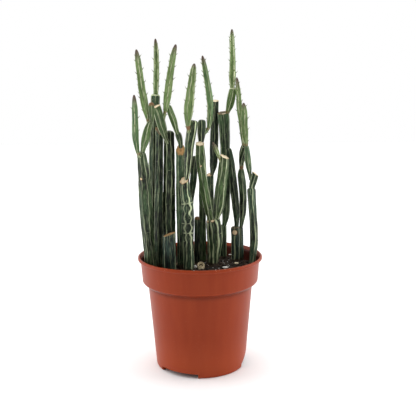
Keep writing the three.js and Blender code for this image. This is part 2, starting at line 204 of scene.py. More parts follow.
class Finish:
    """A material whose nodes are added one by one. Each method returns an output to link further."""

    def __init__(self, name, roughness=0.5, sockets=None):
        self.material = bpy.data.materials.new(name)
        self.material.use_nodes = True
        self.tree = self.material.node_tree
        self.surface = self.tree.nodes["Principled BSDF"]
        self.surface.inputs["Roughness"].default_value = roughness
        for socket, value in (sockets or {}).items():
            self.surface.inputs[socket].default_value = value

    def node(self, kind, inputs, **settings):
        made = self.tree.nodes.new("ShaderNode" + kind)
        for setting, value in settings.items():
            setattr(made, setting, value)
        for key, value in inputs.items():
            if isinstance(value, bpy.types.NodeSocket):
                self.tree.links.new(value, made.inputs[key])
            else:
                made.inputs[key].default_value = value
        return made

    def stored(self, name, output="Fac"):
        return self.node("Attribute", {}, attribute_name=name).outputs[output]

    def parts(self, name):
        return self.node("SeparateColor", {"Color": self.stored(name, "Color")}).outputs

    def place(self):
        return self.node("TexCoord", {}).outputs["Object"]

    def stretch(self, vector, scale):
        return self.node("Mapping", {"Vector": vector, "Scale": scale}).outputs["Vector"]

    def noise(self, vector, size, detail=3.0):
        """Noise with lumps of about `size` metres."""
        inputs = {"Vector": vector, "Scale": 1 / size, "Detail": detail}
        return self.node("TexNoise", inputs).outputs["Fac"]

    def math(self, operation, a, b=0.0):
        return self.node("Math", {0: a, 1: b}, operation=operation).outputs[0]

    def wander(self, vector, size, amount):
        """Noise about zero, that strays by `amount` each way."""
        centred = self.math("SUBTRACT", self.noise(vector, size), 0.5)
        return self.math("MULTIPLY", centred, 2 * amount)

    def step(self, value, start, end):
        """0 before start, 1 after end, and smooth between them. End may be below start."""
        inputs = {"Value": value, "From Min": start, "From Max": end}
        return self.node("MapRange", inputs, interpolation_type="SMOOTHSTEP").outputs["Result"]

    def mix(self, share, a, b):
        return self.node("Mix", {0: share, 6: a, 7: b}, data_type="RGBA").outputs[2]

    def over(self, colour, paint, mask, strength):
        """Lays a paint over a colour where the mask is, with a share of at most `strength`."""
        return self.mix(self.math("MULTIPLY", mask, strength), colour, paint)

    def done(self, colour, height=None, depth=0.0, roughness=None):
        """Links the colour, a height map that is `depth` metres deep, and a varying roughness."""
        self.tree.links.new(colour, self.surface.inputs["Base Color"])
        if height is not None:
            bump = self.node("Bump", {"Height": height, "Distance": depth, "Strength": 1.0})
            self.tree.links.new(bump.outputs["Normal"], self.surface.inputs["Normal"])
        if roughness is not None:
            self.tree.links.new(roughness, self.surface.inputs["Roughness"])
        return self.material


# %% Finish of the table
def make_table_finish():
    finish = Finish("white_table", 0.7)
    cloud = finish.noise(finish.place(), 0.05)
    return finish.done(finish.mix(cloud, chart(250, 250, 250), chart(254, 254, 254)))


table.materials.append(make_table_finish())
print("finish:", table.materials[0].name)

# %% [markdown]
# ## Skin of the stems
# The skin of a pickle plant is dark green, waxy and slightly blue where it is old, with pale lines that run
# along the ribs. One graph can dress every stem if the mesh carries what differs: how far each point is from
# the nearest pale line, how strong that line is, how blue and how light the stem is, and where it is
# corky, browned at the tip, wounded or dusty. The graph turns these smooth fields into crisp, slightly
# ragged edges, which stays sharp in a close view. A grain that is stretched along the stem breaks the
# flat areas up.

# %% Skin
WOUND_RING = 0.22
WOUND_FLESH = 0.5


def make_skin(name, dark, light, blue_dark, blue_light, line, roughness):
    """Waxy skin between two greens and two blue greens, with pale lines."""
    finish = Finish(name, roughness, {"Specular IOR Level": 0.22})
    straight = finish.stored("straight", "Vector")
    line_share, blueness, lightness = finish.parts("look")[0:3]
    cork, tip, dust = finish.parts("stain")[0:3]
    along = finish.stretch(straight, (1, 1, 0.14))

    fibres = finish.wander(along, 0.7 * MM, 0.55)
    clouds = finish.wander(finish.stretch(straight, (1, 1, 0.45)), 3.5 * MM, 0.4)
    tone = finish.math("ADD", lightness, finish.math("ADD", fibres, clouds))
    green = finish.mix(tone, dark, light)
    blue = finish.mix(tone, blue_dark, blue_light)
    colour = finish.mix(blueness, green, blue)

    distance = finish.stored("line")
    ragged = finish.math("ADD", distance, finish.wander(along, 0.9 * MM, 0.35))
    colour = finish.over(colour, dark, finish.step(ragged, 2.6, 1.2), 0.35)
    broken = finish.step(finish.noise(finish.stretch(straight, (1, 1, 0.3)), 2.4 * MM, 5.0), 0.36, 0.54)
    kept = finish.math("ADD", finish.math("MULTIPLY", broken, 0.55), 0.45)
    strong = finish.math("MULTIPLY", line_share, kept)
    stripe = finish.math("MULTIPLY", finish.step(ragged, 1.1, 0.55), strong)
    colour = finish.mix(stripe, colour, line)
    streaks = finish.step(finish.noise(finish.stretch(straight, (1, 1, 0.06)), 0.9 * MM, 5.0), 0.57, 0.68)
    colour = finish.over(colour, line, streaks, 0.34)
    furrows = finish.step(finish.noise(finish.stretch(straight, (1, 1, 0.05)), 1.3 * MM, 4.0), 0.46, 0.34)
    colour = finish.over(colour, dark, furrows, 0.5)

    mottle = finish.noise(straight, 1.1 * MM)
    bark = finish.mix(mottle, chart(72, 52, 38), chart(158, 118, 78))
    corky = finish.math("ADD", cork, finish.wander(straight, 1.2 * MM, 0.3))
    colour = finish.mix(finish.step(corky, 0.3, 0.8), colour, bark)
    brown = finish.mix(mottle, chart(58, 44, 42), chart(112, 84, 78))
    colour = finish.over(colour, brown, tip, 0.92)
    peat = finish.mix(mottle, chart(34, 27, 20), chart(78, 66, 48))
    settled = finish.step(finish.math("ADD", dust, finish.wander(straight, 0.9 * MM, 0.5)), 0.45, 0.9)
    colour = finish.mix(settled, colour, peat)

    wound = finish.math("ADD", finish.stored("wound"), finish.wander(straight, 0.8 * MM, 0.1))
    colour = finish.mix(finish.step(wound, WOUND_RING - 0.08, WOUND_RING), colour, chart(96, 66, 40))
    flesh = finish.mix(mottle, chart(206, 160, 104), chart(248, 234, 200))
    colour = finish.mix(finish.step(wound, WOUND_FLESH - 0.12, WOUND_FLESH), colour, flesh)

    relief = finish.math("ADD", fibres, finish.math("MULTIPLY", stripe, 0.8))
    gloss = finish.math("ADD", roughness, finish.math("MULTIPLY", fibres, 0.12))
    return finish.done(colour, relief, 0.12 * MM, gloss)


old_skin = make_skin("old_skin", chart(14, 21, 12), chart(112, 144, 80), chart(13, 23, 22),
                     chart(86, 124, 104), chart(204, 216, 172), 0.46)
young_skin = make_skin("young_skin", chart(58, 84, 40), chart(152, 174, 106), chart(50, 88, 58),
                       chart(122, 160, 112), chart(222, 226, 184), 0.5)
print("skins:", old_skin.name, young_skin.name)

# %% [markdown]
# ## Cut faces
# Pruning leaves a pale face that dries to cream, then tan, then brown. The mesh stores how far each point
# of the face is from its middle, and how dried the face is. A ring of fibres lies just inside the skin,
# and the core sinks and browns last.

# %% Cut flesh


def make_flesh():
    finish = Finish("cut_flesh", 0.75)
    straight = finish.stored("straight", "Vector")
    dryness = finish.parts("look")[0]
    out = finish.math("ADD", finish.stored("line"), finish.wander(straight, 1.1 * MM, 0.12))
    grain = finish.noise(straight, 0.6 * MM, 5.0)
    fresh = finish.mix(grain, chart(232, 208, 158), chart(253, 246, 226))
    dried = finish.mix(grain, chart(164, 110, 58), chart(232, 190, 126))
    old = finish.mix(grain, chart(40, 38, 28), chart(112, 102, 72))
    colour = finish.mix(finish.step(dryness, 0.0, 0.5), fresh, dried)
    colour = finish.mix(finish.step(dryness, 0.5, 1.0), colour, old)
    patches = finish.step(finish.noise(straight, 2.2 * MM), 0.55, 0.7)
    colour = finish.over(colour, chart(190, 140, 84), patches, 0.35)
    colour = finish.mix(finish.step(finish.stored("wound"), 0.25, 0.45), colour, fresh)
    ring = finish.math("MULTIPLY", finish.step(out, 0.62, 0.7), finish.step(out, 0.84, 0.76))
    colour = finish.over(colour, chart(140, 96, 52), ring, 0.5)
    core = finish.math("MULTIPLY", finish.step(out, 0.34, 0.2), finish.step(dryness, 0.1, 0.5))
    colour = finish.over(colour, chart(96, 62, 34), core, 0.45)
    colour = finish.over(colour, chart(120, 104, 66), finish.step(out, 0.93, 1.0), 0.7)
    return finish.done(colour, grain, 0.35 * MM)


cut_flesh = make_flesh()
print("finish:", cut_flesh.name)

# %% [markdown]
# ## Reading a stem from the frame
# In the frame each stem is a plain swept solid: rings of corners from a foot point to a top point. Walking
# outwards from the foot point, edge by edge, visits one ring at a time, so the middle of each ring gives
# the stem's axis, and its corners give the radius. The last ring also gives the plane of a slanting cut.

# %% Axis of a stem


def rings_of(node):
    """The rings of corners of a swept solid, from its foot point to its top point."""
    shape = bmesh.new()
    shape.from_mesh(frame["nodes"][node].data)
    bmesh.ops.remove_doubles(shape, verts=shape.verts, dist=1e-6)
    ends = sorted(shape.verts, key=lambda corner: len(corner.link_edges))[-2:]
    level = [min(ends, key=lambda corner: corner.co.z)]
    seen = set(level)
    rings = []
    while level:
        rings.append(np.array([corner.co[:] for corner in level]))
        ahead = []
        for corner in level:
            for edge in corner.link_edges:
                other = edge.other_vert(corner)
                if other not in seen:
                    seen.add(other)
                    ahead.append(other)
        level = ahead
    shape.free()
    return rings


def unit(vectors):
    return vectors / np.maximum(np.linalg.norm(vectors, axis=-1, keepdims=True), 1e-12)


def axis_of(node):
    """Centres and radii along a stem, the rise of its top, and the normal of its last ring."""
    rings = rings_of(node)
    centres = np.array([ring.mean(0) for ring in rings[1:-1]])
    tangents = unit(np.gradient(centres, axis=0))
    radii = []
    for ring, centre, tangent in zip(rings[1:-1], centres, tangents):
        arms = ring - centre
        arms -= (arms @ tangent)[:, None] * tangent
        radii.append(np.linalg.norm(arms, axis=1).mean())
    spread = rings[-2] - centres[-1]
    normal = np.linalg.svd(spread)[2][2]
    normal *= np.sign(normal @ tangents[-1])
    rise = float(np.linalg.norm(rings[-1][0] - centres[-1]))
    return {"centres": centres, "radii": np.array(radii), "rise": rise, "normal": normal}


LITTER = ("cut_stump", "bark_chip", "twig", "perlite_left", "perlite_right", "perlite_back")
STEMS = [name for name in frame["nodes"] if name not in ("pot", "soil", *LITTER)]
AXES = {name: axis_of(name) for name in STEMS}
print("stems read:", len(AXES), "of rings:", sorted({len(axis["radii"]) for axis in AXES.values()}))

# %% [markdown]
# ## What makes each stem different
# A clump like this looks alive because no two stems match. The values below say how each stem differs from
# a plain one: its number of ribs, the strength and width in millimetres of its pale lines, how blue and how
# light its skin is, how far it has been turned about its axis, and how its top ends. Wounds are round scars,
# given by their height along the stem, their bearing from the front, and their size. A rim is a pale ring
# round the top, and a spot is a fresh patch on a dried cut, given by its bearing and size. A chain of dark
# ovals is given by the heights of its ends and the length of one oval, and dust by how far splashed peat
# reaches up the stem. Naming the values keeps the table short, since a stem only states what is unusual.

# %% Character of the stems
PLAIN = dict(ribs=7, turn=0, twist=0, strength=0.6, width=0.9, blue=0.45, light=0.22, rungs=30, thorns=0.25,
             thorn=1.0, swell=0.02, ledge=22, dry=None, cork_top=0.0, cork_foot=0.35, chain=None, wounds=(),
             tip=0.0, depth=0.13, parent=None, dust=0.0, skin="old", rim=0.0, spot=None)

CHARACTER = {
    "left_stem": dict(turn=-20, light=0.16, blue=0.25, strength=0.5, dust=1, wounds=((101.5, -25, 2.4),)),
    "back_left_stem": dict(light=0.12, strength=0.45, dust=1, rim=1.1),
    "slant_cut_stem": dict(ribs=6, light=0.04, dry=0.95, dust=1.8, strength=0.4),
    "thin_left_stub": dict(ribs=5, light=0.1, strength=0.3, dust=1),
    "thick_left_stem": dict(light=0.0, blue=0.15, strength=0.6, width=1.0, turn=24, dust=1.8, depth=0.18),
    "front_left_stump": dict(light=0.04, blue=0.9, strength=0.4, width=0.8, dry=0.7, dust=1.8, turn=10),
    "tan_cut_stem": dict(ribs=6, light=0.3, strength=0.6, dry=0.5, dust=1.8, turn=-28),
    "front_stem": dict(ribs=6, turn=-28, light=0.12, blue=0.5, strength=0.85, width=1.15, chain=(36, 79, 9.5),
                       dry=0.18, dust=1, rungs=22),
    "leaning_stem": dict(ribs=6, light=0.1, strength=0.4, dust=1),
    "thin_middle_stub": dict(ribs=5, light=0.0, strength=0.2, dust=1, cork_top=0.9),
    "dark_middle_stem": dict(ribs=6, light=0.24, blue=0.15, strength=0.35, dust=1),
    "knuckled_stump": dict(ribs=8, turn=-8, twist=-0.5, light=0.2, blue=0.25, strength=1.0, width=2.0, dust=1,
                           wounds=((53.5, -62, 3.6), (54.5, -10, 4.0)), rungs=80, depth=0.2),
    "back_middle_stump": dict(light=0.26, dust=1),
    "hidden_back_stem": dict(ribs=6, light=0.16, strength=0.5, dry=0.25, dust=1),
    "right_stump": dict(ribs=6, turn=45, light=0.05, blue=1.0, strength=0.5, width=1.6, dust=1, cork_top=0.5,
                        wounds=((38.7, -12, 5.0),)),
    "thin_right_stub": dict(ribs=5, light=0.1, blue=0.9, strength=0.3, dust=1),
    "far_right_stem": dict(ribs=6, light=0.22, blue=0.6, strength=0.55, dust=1, turn=12),
    "left_stem_branch": dict(ribs=6, light=0.5, blue=0.05, parent="left_stem"),
    "left_callus_stub": dict(ribs=5, light=0.4, blue=0.0, cork_top=0.9, parent="left_stem_branch"),
    "thick_left_branch": dict(ribs=6, light=0.3, blue=0.1, strength=0.8, width=1.3, dry=0.12,
                              parent="thick_left_stem"),
    "tan_cut_knuckle": dict(ribs=6, light=0.3, blue=0.4, parent="tan_cut_stem"),
    "tan_cut_branch": dict(ribs=5, light=0.66, blue=0.1, strength=0.8, width=1.1, parent="tan_cut_knuckle"),
    "front_branch": dict(ribs=6, turn=-20, light=0.06, blue=0.2, strength=0.75, width=1.1,
                         parent="front_stem"),
    "left_arm": dict(ribs=6, turn=-8, light=0.34, blue=0.0, strength=0.6, width=1.1, dry=0.05,
                     parent="knuckled_stump", wounds=((63, -6, 1.8),)),
    "right_arm": dict(ribs=6, turn=-24, light=0.34, blue=0.0, strength=0.75, width=1.4, dry=0.0,
                      parent="knuckled_stump"),
    "left_arm_branch": dict(ribs=6, light=0.08, blue=0.4, strength=0.5, parent="left_arm"),
    "back_middle_branch": dict(light=0.26, blue=0.35, strength=0.6, dry=1.0, spot=(25, 6),
                               parent="back_middle_stump"),
    "pale_topped_branch": dict(ribs=6, light=0.0, strength=0.35, dry=0.0, parent="hidden_back_stem"),
    "right_dark_branch": dict(ribs=6, light=0.04, blue=0.4, strength=0.3, parent="right_stump"),
    "right_branch": dict(ribs=6, light=0.14, blue=0.3, strength=0.5, parent="thin_right_stub", cork_top=0.5),
    "right_branch_joint": dict(ribs=6, light=0.05, blue=0.15, strength=0.9, width=1.2, twist=3.0,
                               parent="right_branch", cork_foot=0.8),
    "far_right_elbow": dict(ribs=6, light=0.3, blue=0.5, dry=0.1, parent="far_right_stem"),
    "far_right_branch": dict(ribs=5, light=0.5, blue=0.5, strength=0.5, parent="far_right_elbow"),
}

SHOOT = dict(ribs=5, strength=0.8, width=0.85, blue=0.15, light=0.45, rungs=0, thorns=1.0, thorn=2.8,
             swell=0.07, ledge=11, tip=8.5, depth=0.16, cork_foot=0.6, skin="young")
SHOOT_CHARACTER = {
    "left_low_shoot": dict(light=0.12, blue=0.5, parent="left_stem", tip=7, thorns=0.3),
    "left_tall_shoot": dict(parent="left_stem_branch", turn=15),
    "back_left_tall_shoot": dict(parent="back_left_stem", turn=-30, light=0.4, tip=8, cork_foot=0.0),
    "thick_left_tall_shoot": dict(parent="thick_left_branch", turn=8, light=0.5),
    "front_fat_shoot": dict(ribs=6, parent="front_branch", light=0.36, blue=0.05, turn=-12, cork_foot=1.0,
                            tip=3.5),
    "middle_tall_shoot": dict(parent="left_arm_branch", light=0.34, blue=0.5, turn=20),
    "right_arm_bud": dict(parent="right_arm", light=0.6, tip=9, thorns=0.2),
    "tallest_shoot_joint": dict(ribs=6, parent="back_middle_branch", light=0.2, blue=0.1, tip=0, swell=0.02,
                                thorns=0.2, rim=1.1),
    "tallest_shoot": dict(parent="tallest_shoot_joint", turn=28, light=0.5, tip=5, cork_foot=0.0),
    "right_tall_shoot": dict(parent="right_branch_joint", light=0.42, turn=-20, tip=10),
    "far_right_short_shoot": dict(parent="far_right_branch", light=0.36, blue=0.2, tip=5),
}
for name, special in CHARACTER.items():
    CHARACTER[name] = {**PLAIN, **special}
for name, special in SHOOT_CHARACTER.items():
    CHARACTER[name] = {**PLAIN, **SHOOT, **special}
print("stems described:", len(CHARACTER), "missing:", sorted(set(STEMS) - set(CHARACTER)))

# %% [markdown]
# ## A smooth axis
# The frame's axis has few points, so it is filled in every half millimetre and softened, which keeps its
# length and its bends. A branch starts with a gap above the stem that carries it. Its axis is led on into
# that stem, so that the two look grown together.

# %% Smooth axis
FINE = 0.5 * MM


def soften(values, spread):
    """Smooths rows of values that stand FINE apart over about `spread` metres, and keeps both ends."""
    count = int(3 * spread / FINE)
    weights = np.exp(-0.5 * (np.arange(-count, count + 1) * FINE / spread) ** 2)
    weights /= weights.sum()
    first, last = values[:1], values[-1:]
    reach = min(count, len(values) - 1)
    before = 2 * first - values[1 : reach + 1][::-1]
    after = 2 * last - values[-reach - 1 : -1][::-1]
    before = np.concatenate([np.repeat(before[:1], count - reach, 0), before])
    after = np.concatenate([after, np.repeat(after[-1:], count - reach, 0)])
    padded = np.concatenate([before, values, after])
    columns = [np.convolve(padded[:, k], weights, "valid") for k in range(values.shape[1])]
    return np.stack(columns, 1)


def root_of(axis, parent):
    """Where a branch leaves the stem that carries it: a point inside that stem, near the branch's foot."""
    foot = axis["centres"][0]
    line = AXES[parent]["centres"]
    lengths = np.concatenate([[0], np.cumsum(np.linalg.norm(np.diff(line, axis=0), axis=1))])
    fine = np.linspace(0, lengths[-1], 200)
    points = np.stack([np.interp(fine, lengths, line[:, k]) for k in range(3)], 1)
    wide = np.interp(fine, lengths, AXES[parent]["radii"])
    near = int(np.argmin(np.linalg.norm(points - foot, axis=1)))
    near = max(near - int(1.7 * wide[near] / fine[1]), 0)
    inside = points[near].copy()
    slant = AXES[parent]["normal"] * (1, 1, 0)
    if CHARACTER[parent]["dry"] is not None and np.linalg.norm(slant) > 0.1:
        inside -= 0.6 * wide[near] * unit(slant)
    way = inside - foot
    far = np.linalg.norm(way)
    depth = max(far - 0.5 * wide[near], 0.6 * MM)
    return foot + way / far * min(depth, far)


def smooth_axis(name):
    """Points, radii and lengths along a stem, every FINE metres."""
    axis = AXES[name]
    centres, radii = axis["centres"], axis["radii"]
    parent = CHARACTER[name]["parent"]
    if parent:
        centres = np.concatenate([[root_of(axis, parent)], centres])
        radii = np.concatenate([[radii[0] * 1.05], radii])
    lengths = np.concatenate([[0], np.cumsum(np.linalg.norm(np.diff(centres, axis=0), axis=1))])
    fine = np.linspace(0, lengths[-1], max(int(lengths[-1] / FINE), 8))
    columns = [np.interp(fine, lengths, centres[:, k]) for k in range(3)]
    points = soften(np.stack([*columns, np.interp(fine, lengths, radii)], 1), 2.6 * MM)
    return fine, points[:, :3], points[:, 3]


print("length of the tallest shoot, mm:", round(smooth_axis("tallest_shoot")[0][-1] / MM, 1))

# %% [markdown]
# ## Ribs and pale lines
# Seen from above, a stem is a rounded polygon: its ribs are the corners. A pale line runs along each
# rib. Every point of the skin needs its distance to the nearest line, so the lines are worked out first as
# bearings round the axis that wander with the height. On a swollen knuckle neighbouring lines lean together
# and apart in turn, and enclose a chain of dark ovals. Thin rungs cross from line to line where a leaf once
# sat.

# %% Pattern round a stem


def pattern(bearings, lengths, radius, look, rng):
    """Distance to a line in half widths, the line's strength and the rib shape, over (lengths, bearings)."""
    ribs = look["ribs"]
    gap = 2 * math.pi / ribs
    mm = lengths[:, None] / MM
    distance = np.full((len(lengths), len(bearings)), 1e3)
    strength = np.zeros_like(distance)
    nearest = np.full_like(distance, 9.0)
    ledges = np.zeros_like(distance)
    chain = np.zeros_like(mm)
    if look["chain"]:
        low, high, period = look["chain"]
        chain = 1 / (1 + np.exp(-(mm - low) / 1.5)) / (1 + np.exp((mm - high) / 1.5))
    thorns = []
    for rib in range(ribs):
        wander = rng.uniform(0.03, 0.1) * np.sin(mm / rng.uniform(7, 14) + rng.uniform(0, 6))
        wander += 0.05 * np.sin(mm / rng.uniform(2.5, 4) + rng.uniform(0, 6))
        middle = rib * gap + np.radians(look["turn"] + look["twist"] * (mm - mm.mean())) + wander
        if look["chain"]:
            lean = np.cos(2 * math.pi * (mm - low) / period)
            middle = middle + (-1) ** rib * chain * lean * gap * 0.15
        off = (bearings[None, :] - middle + math.pi) % (2 * math.pi) - math.pi
        width = look["width"] * rng.uniform(0.7, 1.25) * (1 + 0.25 * np.sin(mm / 5 + rng.uniform(0, 6)))
        width = width * (1 + 0.35 * chain)
        field = np.abs(off) * radius[:, None] / (0.5 * width * MM)
        own = look["strength"] * rng.uniform(0.5, 1.25) * (1 + 0.25 * chain)
        own = own * (1 + 0.3 * np.sin(mm / rng.uniform(6, 12) + rng.uniform(0, 6)))
        closer = field < distance
        strength = np.where(closer, own * np.ones_like(field), strength)
        distance = np.minimum(distance, field)
        share = np.abs(off) / (gap / 2)
        beat = (mm / look["ledge"] + rib * 0.4 + rng.uniform(0, 0.15)) % 1
        tooth = beat**1.5 * (1 - np.clip((beat - 0.86) / 0.14, 0, 1))
        ledges = np.where(share < nearest, tooth * np.clip(1 - share, 0, 1) ** 0.8, ledges)
        nearest = np.minimum(nearest, share)
        falls = np.nonzero((beat[1:, 0] < 0.3) & (beat[:-1, 0] > 0.7))[0]
        bearing = (middle * np.ones_like(mm))[:, 0]
        thorns += [(lengths[row], bearing[row]) for row in falls if rng.uniform() < look["thorns"]]
        if look["rungs"]:
            turn = np.mod(bearings[None, :] - middle, 2 * math.pi) / gap
            start = rng.uniform(0.3, 1) * look["rungs"]
            for level in np.arange(start, mm[-1, 0], look["rungs"]):
                arc = level + rng.uniform(-6, 6) - 1.6 * 4 * turn * (1 - turn)
                rung = np.abs(mm - arc) / 0.33 + 9 * (turn > 1)
                closer = rung < distance
                strength = np.where(closer, 0.5 * look["strength"], strength)
                distance = np.minimum(distance, rung)
    if look["chain"]:
        bar = np.abs(((mm - low) / period + 0.5) % 1 - 0.5) * period / 0.45 + 9 * (chain < 0.5)
        bar = bar + 0.35 * np.sin(3 * bearings[None, :] + mm / period) ** 2
        strength = np.where(bar < distance, 0.9 * look["strength"], strength)
        distance = np.minimum(distance, bar)
    height = np.clip(1 - nearest, 0, 1) ** 1.3 - 0.42
    shape = 1 + look["depth"] * height * (1 - 0.5 * chain) + look["swell"] * ledges
    shape += 0.09 * chain * (np.clip(nearest, 0, 1) - 0.4)
    return distance, strength, shape, thorns


# %% Wounds


def wound_field(places, surface, centres, fronts, rights, lengths):
    """How deep each point of the skin lies in a round scar, from 0 outside to 1 in the middle."""
    field = np.zeros(surface.shape[:2])
    for height, bearing, size in places:
        row = int(np.argmin(np.abs(lengths / MM - height)))
        angle = math.radians(bearing)
        arm = math.cos(angle) * fronts[row] + math.sin(angle) * rights[row]
        reach = np.linalg.norm(surface[row] - centres[row], axis=1).mean()
        middle = centres[row] + arm * reach
        away = np.linalg.norm(surface - middle, axis=2) / (0.5 * size * MM)
        field = np.maximum(field, np.clip(1.35 - away, 0, 1))
    return field


print("scars on the stems:", sum(len(look["wounds"]) for look in CHARACTER.values()))

# %% [markdown]
# ## Sweeping a stem
# A stem is built as rows of points round its axis. At a pruned top the last rows slide along the axis until
# they lie in the plane of the cut, and a slightly dished face closes it. An uncut top rounds over, and its
# ribs fold in to the middle. Each leaf is a thorn about a millimetre long on an old stem and up to three and
# a half on a shoot. It is set on the upper end of a rib's swelling, and curves upwards. Everything goes in
# one mesh to a stem, with the leaves sunk in the skin.

# %% Stem mesh
ROW = 1.0 * MM
TIP_LENGTH = 20 * MM
CAP_RINGS = 7
FORWARD = np.array([0.0, -1.0, 0.0])
THIN_RADIUS = 3.4 * MM  # a thinner stem gets fewer sides
THICK_SIDES = 60
THIN_SIDES = 44
ROUND_OFF = 2.4 * MM  # the last of an uncut top, which rounds over
BURIED = 8.5  # mm along a rooted stem, from its foot to just above the peat
DUST_REACH = 4.5  # mm that splashed peat reaches up a stem whose dust is 1
NOISE_STEP = 0.7  # moves the noise on from one stem to the next, so that no two are alike
BARE_TOP = 2.5 * MM  # no leaf grows nearer to a top than this
BARE_FOOT = 4 * MM  # nor nearer to the foot of a branch
BARE_BURIED = 16 * MM  # nor nearer to the buried foot of a rooted stem


def thorn_mesh(root, out, up, length):
    """Points and faces of one thorn-like leaf, five-sided and curved upwards."""
    points, faces = [], []
    side = np.cross(out, up)
    for t in (0.0, 0.35, 0.7, 1.0):
        middle = root + out * length * (0.75 * t - 0.12) + up * length * 0.8 * t**1.6
        wide = 0.25 * MM * (1.9 * (1 - t) ** 0.8 + 0.12) * (length / (2 * MM)) ** 0.5
        for k in range(5):
            angle = 2 * math.pi * k / 5
            points.append(middle + wide * (math.cos(angle) * side + math.sin(angle) * up))
    for ring in range(3):
        for k in range(5):
            a, b = ring * 5 + k, ring * 5 + (k + 1) % 5
            faces.append((a, a + 5, b + 5, b))
    faces.append((0, 1, 2, 3, 4))
    faces.append((19, 18, 17, 16, 15))
    return points, faces


